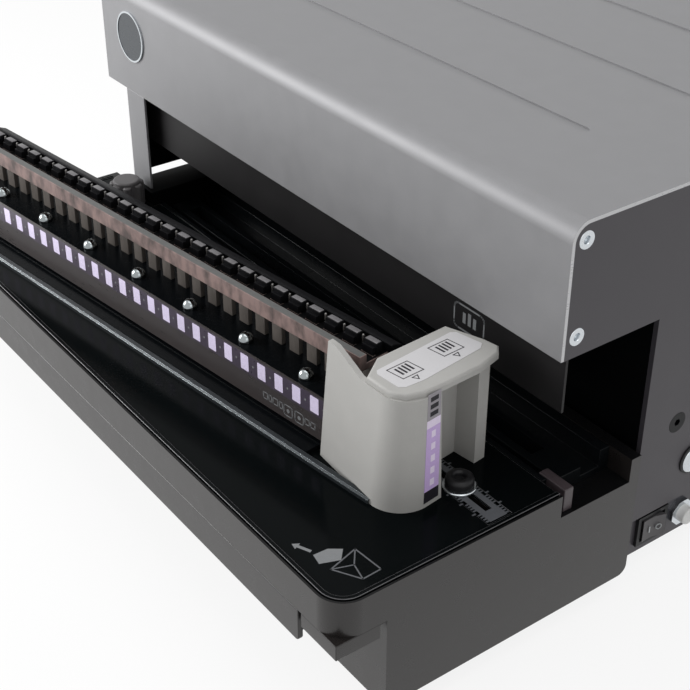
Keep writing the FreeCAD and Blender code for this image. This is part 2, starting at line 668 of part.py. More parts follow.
def side_panel():
    """Right side panel with the throat cut out of its front edge."""
    front_y = COVER_FRONT_Y + COVER_T
    top_z = HEAD_TOP_Z - COVER_T
    outline = [(front_y, HEAD_BOTTOM_Z - 0.5), (THROAT_REAR_Y, HEAD_BOTTOM_Z - 0.5),
               (THROAT_REAR_Y, PANEL_BOTTOM_Z), (COVER_REAR_Y, PANEL_BOTTOM_Z), (COVER_REAR_Y, top_z),
               (front_y, top_z)]
    panel = prism_x(outline, (PANEL_INNER_X, PANEL_OUTER_X))

    def front_top(edge):
        middle = edge.CenterOfMass
        on_edge = abs(middle.y - front_y) < 0.01 and abs(middle.z - top_z) < 0.01
        return runs_along(edge, (1, 0, 0)) and on_edge
    panel = round_edges(panel, COVER_BEND_R - COVER_T, front_top)
    for hole in cover_screw_holes():
        panel = panel.cut(hole)
    for y, z in cover_screw_places():
        panel = panel.cut(countersink(COVER_SCREW_HEAD_R, COVER_SCREW_R, y, z, SLIP))
    y, z = SOCKET_SCREW_YZ
    panel = panel.cut(cylinder_x(SOCKET_SCREW_R + SLIP, (PANEL_INNER_X - 1.0, PANEL_OUTER_X), y, z))
    return panel.cut(countersink(SOCKET_SCREW_HEAD_R, SOCKET_SCREW_R, y, z, SLIP))


def side_panel_right():
    y, z = SIDE_CAP_YZ
    stem_hole = cylinder_x(SIDE_CAP_R - 3.0 + SLIP, (PANEL_INNER_X - 1.0, PANEL_OUTER_X + 1.0), y, z)
    return side_panel().cut(stem_hole)


def side_panel_left():
    return side_panel().mirror(V(0, 0, 0), V(1, 0, 0))


def cover_screws():
    screws = []
    for y, z in cover_screw_places():
        head = countersink(COVER_SCREW_HEAD_R, COVER_SCREW_R, y, z, 0.0)
        shank = cylinder_x(COVER_SCREW_R, (PANEL_OUTER_X - COVER_SCREW_L, PANEL_OUTER_X), y, z)
        recess = Part.makeCone(0.3, 1.9, 2.2, V(PANEL_OUTER_X - 2.0, y, z), V(1, 0, 0))
        screws.append(fuse(head, shank).cut(recess))
    group = fuse_apart(screws)
    return fuse_apart([group, group.mirror(V(0, 0, 0), V(1, 0, 0))])


def hexagon_x(across_flats, x, y, z):
    radius = across_flats / 2 / math.cos(math.radians(30))
    points = [(y + radius * math.cos(math.radians(60 * k)), z + radius * math.sin(math.radians(60 * k)))
              for k in range(6)]
    return prism_x(points, x)


def socket_screw(frame_face_x):
    """Black countersunk screw from the right side panel into the press frame."""
    y, z = SOCKET_SCREW_YZ
    head = countersink(SOCKET_SCREW_HEAD_R, SOCKET_SCREW_R, y, z, 0.0)
    shank = cylinder_x(SOCKET_SCREW_R, (frame_face_x - SOCKET_SCREW_GRIP, PANEL_OUTER_X), y, z)
    socket = hexagon_x(4.0, (PANEL_OUTER_X - 2.5, PANEL_OUTER_X + 1.0), y, z)
    return fuse(head, shank).cut(socket)


def frame_screws():
    right = socket_screw(FRAME_RIGHT_SPAN[1])
    left = socket_screw(-FRAME_LEFT_SPAN[0]).mirror(V(0, 0, 0), V(1, 0, 0))
    return fuse_apart([right, left])


def frame_spacers():
    """Tubes that fill the room between the press frames and the side panels."""
    y, z = SOCKET_SCREW_YZ
    tubes = []
    for x in ((FRAME_RIGHT_SPAN[1], PANEL_INNER_X), (-PANEL_INNER_X, FRAME_LEFT_SPAN[0])):
        tube = cylinder_x(SOCKET_SCREW_HEAD_R + 2.0, x, y, z)
        tubes.append(tube.cut(cylinder_x(SOCKET_SCREW_R + SLIP, x, y, z)))
    return fuse_apart(tubes)


def side_cap():
    y, z = SIDE_CAP_YZ
    dome = cylinder_x(SIDE_CAP_R, (PANEL_OUTER_X, PANEL_OUTER_X + SIDE_CAP_H), y, z)
    dome = dome.makeFillet(1.6, [edge for edge in dome.Edges if edge.CenterOfMass.x > PANEL_OUTER_X + 2.0
                                 and isinstance(edge.Curve, Part.Circle)])
    stem = cylinder_x(SIDE_CAP_R - 3.0, (PANEL_INNER_X - 1.2, PANEL_OUTER_X), y, z)
    return fuse(dome, stem)


def badge_disc():
    x, z = BADGE_XZ
    return cylinder(BADGE_R - BADGE_RING_T - 0.1, (x, COVER_FRONT_Y, z), (0, -1, 0), BADGE_H)


def badge_ring():
    x, z = BADGE_XZ
    ring = cylinder(BADGE_R, (x, COVER_FRONT_Y, z), (0, -1, 0), BADGE_H + 0.4)
    hole = cylinder(BADGE_R - BADGE_RING_T, (x, COVER_FRONT_Y + 1.0, z), (0, -1, 0), BADGE_H + 4.0)
    return ring.cut(hole)


def chassis_pan():
    """Bent pan under the rear part, which carries the press frames and shows below the side panels."""
    floor = box(mirrored_span(CHASSIS_HALF_W), (BASE_REAR_Y, REAR_PANEL_Y[1]),
                (CHASSIS_BOTTOM_Z, CHASSIS_BOTTOM_Z + CHASSIS_T))
    side = box((CHASSIS_INNER_X, CHASSIS_HALF_W), (CHASSIS_FRONT_Y, REAR_PANEL_Y[1]),
               (CHASSIS_BOTTOM_Z, CHASSIS_SIDE_Z))
    other = side.mirror(V(0, 0, 0), V(1, 0, 0))
    y, z = SWITCH_YZ
    switch_hole = box((CHASSIS_INNER_X - 1.0, CHASSIS_HALF_W + 1.0),
                      (y - BEZEL_W / 2 + 1.5, y + BEZEL_W / 2 - 1.5),
                      (z - BEZEL_H / 2 + 1.5, z + BEZEL_H / 2 - 1.5))
    y, z = BREAKER_YZ
    breaker_hole = cylinder_x(COLLAR_R - 1.5, (CHASSIS_INNER_X - 1.0, CHASSIS_HALF_W + 1.0), y, z)
    y, z = SIDE_CAP_YZ
    flange = box((FRAME_LEFT_SPAN[1] + LOOSE, FRAME_RIGHT_SPAN[0] - LOOSE), (BASE_REAR_Y, BASE_REAR_Y + CHASSIS_T),
                 (CHASSIS_BOTTOM_Z, TROUGH_UNDER_Z))
    pan = fuse(floor, side, other, flange)
    for tool in (switch_hole, breaker_hole, cylinder_x(SIDE_CAP_R, (CHASSIS_INNER_X - 1.0, PANEL_INNER_X), y, z)):
        pan = pan.cut(tool)
    return pan


def rear_panel():
    panel = box(mirrored_span(CHASSIS_INNER_X - SLIP), REAR_PANEL_Y,
                (CHASSIS_BOTTOM_Z + CHASSIS_T, HEAD_TOP_Z - COVER_T - GROOVE_D - SLIP))
    x, z = INLET_XZ
    panel = panel.cut(box((x - INLET_W / 2 - SLIP, x + INLET_W / 2 + SLIP),
                          (REAR_PANEL_Y[0] - 1.0, REAR_PANEL_Y[1] + 1.0),
                          (z - INLET_H / 2 - SLIP, z + INLET_H / 2 + SLIP)))
    slots = []
    for number in range(VENT_COUNT):
        x = VENT_FIRST_X + number * VENT_PITCH
        slots.append(box((x, x + VENT_W), (REAR_PANEL_Y[0] - 1.0, REAR_PANEL_Y[1] + 1.0), VENT_Z))
    return cut_all(panel, slots)


def power_inlet():
    x, z = INLET_XZ
    y = REAR_PANEL_Y[1]
    body = box((x - INLET_W / 2, x + INLET_W / 2), (y - INLET_DEPTH, y), (z - INLET_H / 2, z + INLET_H / 2))
    flange = box((x - INLET_W / 2 - INLET_FLANGE, x + INLET_W / 2 + INLET_FLANGE), (y, y + 1.6),
                 (z - INLET_H / 2 - 2.0, z + INLET_H / 2 + 2.0))
    socket = box((x - INLET_W / 2 + 2.0, x + INLET_W / 2 - 2.0), (y - INLET_DEPTH + 4.0, y + 2.0),
                 (z - INLET_H / 2 + 2.0, z + INLET_H / 2 - 2.0))
    inlet = fuse(body, flange).cut(socket)
    blades = [box((x + k * 7.0 - 1.0, x + k * 7.0 + 1.0), (y - INLET_DEPTH + 3.5, y - 5.0),
                  (z - 2.0 + (2.5 if k == 0 else 0.0), z + 2.0 + (2.5 if k == 0 else 0.0)))
              for k in (-1, 0, 1)]
    return fuse(inlet, *blades)


# Throat

def left_pillar():
    y = (COVER_FRONT_Y, COVER_FRONT_Y + PILLAR_T)
    z = (BRIDGE_TOP_Z, HEAD_BOTTOM_Z)
    front = box(PILLAR_X, y, z)
    side = box((PILLAR_X[0], PILLAR_X[0] + PILLAR_T), (y[0], y[0] + PILLAR_RETURN), z)
    return fuse(front, side)


def left_cheek():
    return box(CHEEK_PLATE_X, (COVER_FRONT_Y + PILLAR_RETURN + SLIP, THROAT_REAR_Y - SLIP),
               (CHEEK_PLATE_BOTTOM_Z, UPPER_JAW_Z))


def throat_guard():
    x = (PILLAR_X[0] + PILLAR_T + SLIP, FRAME_RIGHT_SPAN[1])
    plate = box(x, (GUARD_Y, GUARD_Y + GUARD_T), (GUARD_BOTTOM_Z, GUARD_TOP_Z))
    lug = box((FRAME_RIGHT_SPAN[0], FRAME_RIGHT_SPAN[1]), (GUARD_Y + GUARD_T, UPPER_JAW_FRONT_Y),
              (UPPER_JAW_Z + 4.0, UPPER_JAW_Z + 44.0))
    left_arm = box((FRAME_LEFT_SPAN[0], x[0]), (GUARD_Y, GUARD_Y + GUARD_T),
                   (UPPER_JAW_Z + 4.0, UPPER_JAW_Z + 44.0))
    left_lug = box(FRAME_LEFT_SPAN, (GUARD_Y + GUARD_T, UPPER_JAW_FRONT_Y),
                   (UPPER_JAW_Z + 4.0, UPPER_JAW_Z + 44.0))
    return fuse(plate, lug, left_arm, left_lug)


def throat_rear_wall():
    half = CHASSIS_HALF_W
    y = THROAT_REAR_Y + 0.7
    wall = box(mirrored_span(half), (y, y + REAR_WALL_T), (NOTCH_FLOOR_Z, HEAD_BOTTOM_Z - 0.5))
    foot = box(mirrored_span(half), (BASE_REAR_Y, y), (NOTCH_FLOOR_Z, NOTCH_FLOOR_Z + REAR_WALL_T))
    return fuse(wall, foot)


def gear_floor():
    """Closing plate under the part of the head that hangs over at the left."""
    return box((-CHASSIS_HALF_W, FRAME_LEFT_SPAN[0] - SLIP), (COVER_FRONT_Y + COVER_T, THROAT_REAR_Y),
               (HEAD_BOTTOM_Z, HEAD_BOTTOM_Z + CHASSIS_T))


# Press frame and ram

def press_frame(x):
    front, rear = FRAME_LEG_Y
    outline = [(rear, CHASSIS_BOTTOM_Z + CHASSIS_T), (rear, FRAME_TOP_Z), (UPPER_JAW_FRONT_Y, FRAME_TOP_Z),
               (UPPER_JAW_FRONT_Y, UPPER_JAW_Z), (front, UPPER_JAW_Z), (front, TROUGH_UNDER_Z),
               (LOWER_JAW_FRONT_Y, TROUGH_UNDER_Z), (LOWER_JAW_FRONT_Y, JAW_BOTTOM_Z), (front, JAW_BOTTOM_Z),
               (front, CHASSIS_BOTTOM_Z + CHASSIS_T)]
    plate = prism_x(outline, x)

    def inner_corner(edge):
        middle = edge.CenterOfMass
        return (runs_along(edge, (1, 0, 0)) and abs(middle.y - front) < 0.01
                and min(abs(middle.z - z) for z in (UPPER_JAW_Z, TROUGH_UNDER_Z, JAW_BOTTOM_Z)) < 0.01)
    plate = round_edges(plate, FRAME_CORNER_R, inner_corner)
    plate = plate.cut(cylinder_x(BUSH_R, x, SHAFT_Y, SHAFT_Z))
    y, z = SOCKET_SCREW_YZ
    return plate.cut(cylinder_x(SOCKET_SCREW_R, x, y, z))


def press_frame_left():
    return press_frame(FRAME_LEFT_SPAN).cut(
        cylinder_x(SPINDLE_R + 2.0, FRAME_LEFT_SPAN, MOTOR_Y, SHAFT_Z))


def press_frame_right():
    """Right frame, stepped at its foot to leave room for the switch and the breaker."""
    step = box((FRAME_RIGHT_SPAN[0] - 1.0, FRAME_RIGHT_SPAN[1] + 1.0),
               (FRAME_LEG_Y[0] - 1.0, BREAKER_YZ[0] + COLLAR_R + LOOSE),
               (CHASSIS_BOTTOM_Z, SWITCH_YZ[1] + BEZEL_H / 2 + LOOSE))
    return press_frame(FRAME_RIGHT_SPAN).cut(step)


def rear_beam():
    beam = box((FRAME_LEFT_SPAN[1], FRAME_RIGHT_SPAN[0]), BEAM_Y, BEAM_Z)
    return beam.cut(box((FRAME_LEFT_SPAN[1] + 8.0, FRAME_RIGHT_SPAN[0] - 8.0), (BEAM_Y[0] + 6.0, BEAM_Y[1] + 1.0),
                        (BEAM_Z[0] + 6.0, BEAM_Z[1] - 6.0)))


def shaft_bushes():
    bushes = []
    for x in (FRAME_LEFT_SPAN, FRAME_RIGHT_SPAN):
        bush = cylinder_x(BUSH_R, x, SHAFT_Y, SHAFT_Z)
        bushes.append(bush.cut(cylinder_x(SHAFT_R + BEARING_GAP, x, SHAFT_Y, SHAFT_Z)))
    return fuse_apart(bushes)


def ram_bar():
    bar = box((RAM_LEFT_X, RAM_RIGHT_X), RAM_Y, RAM_Z)

    def top_front(edge):
        middle = edge.CenterOfMass
        return runs_along(edge, (1, 0, 0)) and middle.z > RAM_Z[1] - 0.01
    return bar.makeChamfer(2.0, [edge for edge in bar.Edges if top_front(edge)])


def ram_end_plate(x):
    """Plate at one end of the ram, which slides between two gibs and passes the shaft in a slot."""
    plate = box(x, (RAM_Y[0], RAM_PLATE_REAR_Y), (RAM_Z[1], RAM_PLATE_TOP_Z))
    width = SHAFT_R + 1.0
    low = SHAFT_Z - SHAFT_R - 1.0
    high = SHAFT_Z + SHAFT_R + RAM_STROKE + 1.0
    slot = box(x, (SHAFT_Y - width, SHAFT_Y + width), (low, high))
    return plate.cut(slot)


def ram_end_plates():
    left = ram_end_plate((RAM_LEFT_X, RAM_LEFT_X + RAM_PLATE_T))
    right = ram_end_plate((RAM_RIGHT_X - RAM_PLATE_T, RAM_RIGHT_X))
    return fuse_apart([left, right])


def ram_gibs():
    """Bars on the press frames that guide the ram up and down."""
    gibs = []
    z = (UPPER_JAW_Z, RAM_PLATE_TOP_Z)
    spans = ((FRAME_LEFT_SPAN[1], RAM_LEFT_X + RAM_PLATE_T), (RAM_RIGHT_X - RAM_PLATE_T, FRAME_RIGHT_SPAN[0]))
    for x in spans:
        front = RAM_Y[0] - LOOSE
        rear = RAM_PLATE_REAR_Y + LOOSE
        gibs.append(box(x, (front - GIB_T, front), z))
        gibs.append(box(x, (rear, rear + GIB_T), z))
    return fuse_apart(gibs)


def ram_yoke(x):
    """Web with an oblong window round an eccentric."""
    centre_z = SHAFT_Z + ECCENTRIC_OFFSET
    half_h = ECCENTRIC_R + YOKE_PLAY
    half_w = ECCENTRIC_R + ECCENTRIC_OFFSET + LOOSE
    span = (x - YOKE_T / 2, x + YOKE_T / 2)
    web = box(span, (SHAFT_Y - half_w - YOKE_ARM, SHAFT_Y + half_w + YOKE_ARM),
              (RAM_Z[1], centre_z + half_h + YOKE_ARM))

    def top_corner(edge):
        return runs_along(edge, (1, 0, 0)) and edge.CenterOfMass.z > centre_z + half_h
    web = round_edges(web, 6.0, top_corner)
    return web.cut(box(span, (SHAFT_Y - half_w, SHAFT_Y + half_w), (centre_z - half_h, centre_z + half_h)))


def ram_yokes():
    return fuse_apart([ram_yoke(x) for x in ECCENTRIC_X])


def drive_shaft():
    x = (GEAR_X - SHAFT_END_GAP, FRAME_RIGHT_SPAN[1])
    shaft = cylinder_x(SHAFT_R, x, SHAFT_Y, SHAFT_Z)
    return shaft.makeChamfer(1.0, [edge for edge in shaft.Edges if isinstance(edge.Curve, Part.Circle)])


def eccentrics():
    discs = []
    for x in ECCENTRIC_X:
        span = (x - ECCENTRIC_W / 2, x + ECCENTRIC_W / 2)
        disc = cylinder_x(ECCENTRIC_R, span, SHAFT_Y, SHAFT_Z + ECCENTRIC_OFFSET)
        discs.append(disc.cut(cylinder_x(SHAFT_R, span, SHAFT_Y, SHAFT_Z)))
    return fuse_apart(discs)


def gear(teeth, x, y, z, first_angle):
    """Spur gear with straight-flanked teeth, the first one centred on the given angle in the YZ plane."""
    pitch_r = GEAR_MODULE * teeth / 2
    root_r = pitch_r - 1.25 * GEAR_MODULE
    tip_r = pitch_r + 0.9 * GEAR_MODULE
    step = 360.0 / teeth
    play = 0.94
    points = []
    for number in range(teeth):
        centre = first_angle + number * step
        for radius, share in ((root_r, -0.36), (tip_r, -0.12), (tip_r, 0.12), (root_r, 0.36)):
            angle = math.radians(centre + share * play * step)
            points.append((y + radius * math.cos(angle), z + radius * math.sin(angle)))
    return prism_x(points, x)


def drive_gear():
    x = (GEAR_X, GEAR_X + GEAR_FACE)
    wheel = gear(GEAR_TEETH, x, SHAFT_Y, SHAFT_Z, 0.0)
    for number in range(5):
        angle = math.radians(36 + 72 * number)
        wheel = wheel.cut(cylinder_x(6.0, x, SHAFT_Y + 19.0 * math.cos(angle), SHAFT_Z + 19.0 * math.sin(angle)))
    return wheel.cut(cylinder_x(SHAFT_R, x, SHAFT_Y, SHAFT_Z))


def motor_pinion():
    """Pinion and spindle of the motor: a gap of the pinion faces a tooth of the gear."""
    x = (GEAR_X + 0.5, GEAR_X + GEAR_FACE - 0.5)
    half_step = 180.0 / PINION_TEETH
    wheel = gear(PINION_TEETH, x, MOTOR_Y, SHAFT_Z, 180.0 + half_step)
    spindle = cylinder_x(SPINDLE_R, (x[1], FRAME_LEFT_SPAN[1] + 6.0), MOTOR_Y, SHAFT_Z)
    return fuse(wheel, spindle)


def motor():
    x = (FRAME_LEFT_SPAN[1], FRAME_LEFT_SPAN[1] + MOTOR_L)
    body = cylinder_x(MOTOR_R, x, MOTOR_Y, SHAFT_Z)
    body = body.makeFillet(3.0, [edge for edge in body.Edges if edge.CenterOfMass.x > x[1] - 0.01
                                 and isinstance(edge.Curve, Part.Circle)])
    return body.cut(cylinder_x(SPINDLE_R + 1.0, (x[0], x[0] + 12.0), MOTOR_Y, SHAFT_Z))


def control_board():
    z = CHASSIS_BOTTOM_Z + CHASSIS_T + STANDOFF_H
    board = box(BOARD_X, BOARD_Y, (z, z + BOARD_T))
    top = z + BOARD_T
    blocks = [box(x, y, (top, top + height)) for x, y, height in (RELAY, RECTIFIER, TERMINALS)]
    capacitor = cylinder_z(CAPACITOR_R, *CAPACITOR_XY, (top, top + CAPACITOR_H))
    return fuse(board, capacitor, *blocks)


def board_standoffs():
    z = (CHASSIS_BOTTOM_Z + CHASSIS_T, CHASSIS_BOTTOM_Z + CHASSIS_T + STANDOFF_H)
    inset = STANDOFF_INSET
    places = [(x, y) for x in (BOARD_X[0] + inset, BOARD_X[1] - inset)
              for y in (BOARD_Y[0] + inset, BOARD_Y[1] - inset)]
    return fuse_apart([cylinder_z(STANDOFF_R, x, y, z) for x, y in places])


# Switch and breaker

def switch_bezel():
    y, z = SWITCH_YZ
    x = CHASSIS_HALF_W
    plate = box((x, x + BEZEL_T), (y - BEZEL_W / 2, y + BEZEL_W / 2), (z - BEZEL_H / 2, z + BEZEL_H / 2))
    body = box((x - ROCKER_BACK, x), (y - BEZEL_W / 2 + 1.7, y + BEZEL_W / 2 - 1.7),
               (z - BEZEL_H / 2 + 1.7, z + BEZEL_H / 2 - 1.7))
    window = box((x - 14.0, x + BEZEL_T + 1.0), (y - ROCKER_W / 2 - ROCKER_GAP, y + ROCKER_W / 2 + ROCKER_GAP),
                 (z - ROCKER_H / 2 - ROCKER_GAP, z + ROCKER_H / 2 + ROCKER_GAP))
    pivot = cylinder_z(ROCKER_PIVOT_R + BEARING_GAP, x, y, (z - ROCKER_PIVOT_L / 2, z + ROCKER_PIVOT_L / 2))
    return fuse(plate, body).cut(window).cut(pivot)


def power_rocker():
    """Rocker with a hollow face, tipped about the upright axis of its pivot."""
    y, z = SWITCH_YZ
    pivot_x = CHASSIS_HALF_W
    half = ROCKER_W / 2
    points = [(pivot_x - 6.0, y - half * 0.5), (pivot_x + 4.4, y - half * 0.88), (pivot_x + 3.0, y),
              (pivot_x + 4.4, y + half * 0.88), (pivot_x - 6.0, y + half * 0.5)]
    rocker = prism_z(points, (z - ROCKER_H / 2, z + ROCKER_H / 2))
    pivot = cylinder_z(ROCKER_PIVOT_R, pivot_x, y, (z - ROCKER_PIVOT_L / 2, z + ROCKER_PIVOT_L / 2))
    rocker = fuse(rocker, pivot)
    rocker.rotate(V(pivot_x, y, z), V(0, 0, 1), -ROCKER_TILT)
    return rocker


def breaker_collar():
    y, z = BREAKER_YZ
    x = CHASSIS_HALF_W
    points = [(y + COLLAR_R * math.cos(math.radians(22.5 + 45 * k)),
               z + COLLAR_R * math.sin(math.radians(22.5 + 45 * k))) for k in range(8)]
    nut = prism_x(points, (x, x + COLLAR_H))
    body = cylinder_x(COLLAR_R - 1.7, (x - BREAKER_BACK, x), y, z)
    bore = cylinder_x(BUTTON_R + BEARING_GAP, (x - 12.0, x + COLLAR_H + 1.0), y, z)
    return fuse(nut, body).cut(bore)


def breaker_button():
    y, z = BREAKER_YZ
    face_x = CHASSIS_HALF_W + BUTTON_REACH
    button = cylinder_x(BUTTON_R, (CHASSIS_HALF_W - 6.0, face_x), y, z)
    return button.makeFillet(0.8, [edge for edge in button.Edges if edge.CenterOfMass.x > face_x - 0.01
                                   and isinstance(edge.Curve, Part.Circle)])


# Die channel, edge guide and margin knob

def die_channel():
    """Drawn rail section in the pocket of the base: lip, slot, bar, trough and rear wall."""
    lip, bar, wall = CHANNEL_LIP_Y, CHANNEL_BAR_Y, CHANNEL_WALL_Y
    outline = [(lip[0], NOTCH_FLOOR_Z), (wall[1], NOTCH_FLOOR_Z), (wall[1], CHANNEL_WALL_Z),
               (wall[0], CHANNEL_WALL_Z), (wall[0], CHANNEL_TROUGH_Z), (bar[1], CHANNEL_TROUGH_Z),
               (bar[1], CHANNEL_BAR_Z), (bar[0], CHANNEL_BAR_Z), (bar[0], CHANNEL_SLOT_Z),
               (lip[1], CHANNEL_SLOT_Z), (lip[1], CHANNEL_LIP_Z), (lip[0], CHANNEL_LIP_Z)]
    rail = prism_x(outline, CHANNEL_X)
    slot = box(CHIP_SLOT_X, CHIP_SLOT_Y, (NOTCH_FLOOR_Z - 1.0, CHANNEL_BAR_Z + 1.0))
    return rail.cut(slot)


def channel_stop():
    """Small block at the open end of the channel, standing in its front slot."""
    y = (CHANNEL_LIP_Y[1] + SLIP, CHANNEL_BAR_Y[0] - SLIP)
    foot = box((STOP_X[0], CHANNEL_X[1]), y, (CHANNEL_SLOT_Z, STOP_Z))
    outer = box((CHANNEL_X[1], STOP_X[1]), y, (NOTCH_FLOOR_Z, STOP_Z))
    return fuse(foot, outer)


def edge_slide():
    """Stem in the slot of the table with its nut under the deck."""
    stem = cylinder_z(EDGE_STEM_R, EDGE_KNOB_X, SCALE_Y, (DECK_UNDER_Z - LOOSE, EDGE_KNOB_TOP_Z - 3.0))
    nut = box((EDGE_KNOB_X - EDGE_NUT_L / 2, EDGE_KNOB_X + EDGE_NUT_L / 2),
              (SCALE_Y - EDGE_NUT_W / 2, SCALE_Y + EDGE_NUT_W / 2),
              (DECK_UNDER_Z - LOOSE - EDGE_NUT_T, DECK_UNDER_Z - LOOSE))
    return fuse(stem, nut)


def edge_knob_ring():
    z = (TABLE_Z + SLIP, TABLE_Z + SLIP + EDGE_RING_H)
    ring = cylinder_z(EDGE_RING_R, EDGE_KNOB_X, SCALE_Y, z)
    top = [edge for edge in ring.Edges if edge.CenterOfMass.z > z[1] - 0.01 and isinstance(edge.Curve, Part.Circle)]
    return ring.makeFillet(0.7, top).cut(cylinder_z(EDGE_STEM_R, EDGE_KNOB_X, SCALE_Y, z))


def edge_knob():
    z = (TABLE_Z + SLIP + EDGE_RING_H + SLIP, EDGE_KNOB_TOP_Z)
    knob = cylinder_z(EDGE_KNOB_R, EDGE_KNOB_X, SCALE_Y, z)
    top = [edge for edge in knob.Edges if edge.CenterOfMass.z > z[1] - 0.01 and isinstance(edge.Curve, Part.Circle)]
    knob = knob.makeFillet(1.4, top)
    knob = knob.cut(cylinder_z(EDGE_STEM_R + BEARING_GAP, EDGE_KNOB_X, SCALE_Y, (z[0], z[1] - 3.0 + LOOSE)))
    dimple = Part.makeCone(1.2, 3.4, 1.6, V(EDGE_KNOB_X, SCALE_Y, z[1] - 1.5))
    return knob.cut(dimple)


def margin_knob():
    """Star grip: a round boss with lobes a little lower than its top, and a spindle through the deck."""
    x, y = MARGIN_KNOB_XY
    low, high = MARGIN_KNOB_Z

    def top_circle(shape):
        top = shape.BoundBox.ZMax
        return [edge for edge in shape.Edges
                if edge.CenterOfMass.z > top - 0.01 and isinstance(edge.Curve, Part.Circle)]
    boss = cylinder_z(MARGIN_KNOB_R, x, y, (low, high))
    pieces = [boss.makeFillet(1.6, top_circle(boss))]
    for number in range(MARGIN_LOBES):
        angle = 2 * math.pi * (number + 0.5) / MARGIN_LOBES
        lobe = cylinder_z(MARGIN_LOBE_R, x + MARGIN_LOBE_REACH * math.cos(angle),
                          y + MARGIN_LOBE_REACH * math.sin(angle), (low, high - MARGIN_LOBE_DROP))
        pieces.append(lobe.makeFillet(1.4, top_circle(lobe)))
    pieces.append(cylinder_z(MARGIN_SPINDLE_R, x, y, (DECK_UNDER_Z - 4.0, low)))
    return fuse(*pieces)


# Die set, drawn in its own directions and then laid on the table

def lay_on_table(shape):
    shape.rotate(V(0, 0, 0), V(0, 0, 1), DIE_YAW)
    shape.translate(V(DIE_ORIGIN[0], DIE_ORIGIN[1], TABLE_Z + DIE_REST_GAP))
    return shape


def pin_places():
    return [PIN_LAST_U - number * PIN_PITCH for number in range(PIN_COUNT)]


def pin_slots(h, gap):
    half = PIN_W / 2 + gap
    return [box((u - half, u + half), (PIN_FRONT_W - gap, PIN_FRONT_W + PIN_T + gap), h) for u in pin_places()]


def cut_all(shape, tools):
    return shape.cut(Part.makeCompound(tools))


def die_base():
    low = box((DIE_LEFT_U, DIE_BASE_RIGHT_U), (DIE_FRONT_W, DIE_REAR_W), (0, DIE_BASE_H))
    stop = box((DIE_LEFT_U, DIE_BASE_RIGHT_U), (PAPER_STOP_W, DIE_REAR_W),
               (DIE_BASE_H, DIE_BASE_H + PAPER_SLOT_H))
    flange = box((DIE_LEFT_U, FLANGE_RIGHT_U), (STRIP_REAR_W + 0.1, DIE_FRONT_W), (0, FLANGE_H))
    base = fuse(low, stop, flange)
    return lay_on_table(cut_all(base, pin_slots((-1.0, DIE_BASE_H + 1.0), PIN_FIT)))


def die_strip():
    """Bright ledge strip along the front of the die base, ending against the handle."""
    strip = box((DIE_LEFT_U, STRIP_RIGHT_U), (STRIP_REAR_W - STRIP_W, STRIP_REAR_W), (0, STRIP_H))

    def top_long(edge):
        return edge.CenterOfMass.z > STRIP_H - 0.01 and edge.Length > BLOCK_RIGHT_U - FLANGE_RIGHT_U
    strip = strip.makeChamfer(0.9, [edge for edge in strip.Edges if top_long(edge)])
    return lay_on_table(strip.cut(handle_walls(0.3)))


def die_block():
    bottom = DIE_BASE_H + PAPER_SLOT_H
    block = box((DIE_LEFT_U, BLOCK_RIGHT_U), (DIE_FRONT_W, DIE_REAR_W), (bottom, bottom + BLOCK_H))
    tools = pin_slots((bottom - 1.0, bottom + BLOCK_H + 1.0), PIN_FIT)
    for number in range(DOME_COUNT):
        tools.append(cylinder_z(DOME_SHANK_R + BEARING_GAP, DOME_FIRST_U - number * DOME_PITCH, DOME_W,
                                (bottom + BLOCK_H - DOME_SHANK_L - LOOSE, bottom + BLOCK_H + 1.0)))
    return lay_on_table(cut_all(block, tools))


def dome_screw(u, seat_h):
    """Half ball on a low straight rim, with a short shank."""
    rim = cylinder_z(DOME_R, u, DOME_W, (seat_h, seat_h + DOME_RIM_H))
    crown = Part.makeSphere(DOME_R, V(u, DOME_W, seat_h + DOME_RIM_H), V(0, 0, 1), 0, 90, 360)
    shank = cylinder_z(DOME_SHANK_R, u, DOME_W, (seat_h - DOME_SHANK_L, seat_h))
    return fuse(rim, crown, shank)


def die_screws():
    seat = DIE_BASE_H + PAPER_SLOT_H + BLOCK_H
    screws = [dome_screw(DOME_FIRST_U - number * DOME_PITCH, seat) for number in range(DOME_COUNT)]
    return lay_on_table(fuse_apart(screws))


def punch_pins():
    pins = []
    for u in pin_places():
        shank = box((u - PIN_W / 2, u + PIN_W / 2), (PIN_FRONT_W, PIN_FRONT_W + PIN_T),
                    (PIN_DOWN_H + PRESS_TRAVEL, PIN_HEAD_TOP_H - 2.0))
        head = box((u - PIN_HEAD_W / 2, u + PIN_HEAD_W / 2),
                   (PIN_HEAD_FRONT_W, PIN_HEAD_FRONT_W + PIN_HEAD_T), (RETAINER_FLOOR_H, PIN_HEAD_TOP_H))
        pins.append(fuse(shank, head))
    return lay_on_table(fuse_apart(pins))


def pin_retainer():
    """Pressure bar: a thick floor that holds the pins and a front wall with a flat top."""
    right = RETAINER_RIGHT_U
    floor = box((DIE_LEFT_U + 4.0, right), (RETAINER_FRONT_W, RETAINER_REAR_W), (RETAINER_H, RETAINER_FLOOR_H))
    wall = box((DIE_LEFT_U + 4.0, right), (RETAINER_FRONT_W, RETAINER_FRONT_W + RETAINER_WALL),
               (RETAINER_FLOOR_H, RETAINER_TOP_H))
    bar = fuse(floor, wall)
    return lay_on_table(cut_all(bar, pin_slots((RETAINER_H - 1.0, RETAINER_FLOOR_H + 1.0), PIN_FIT)))


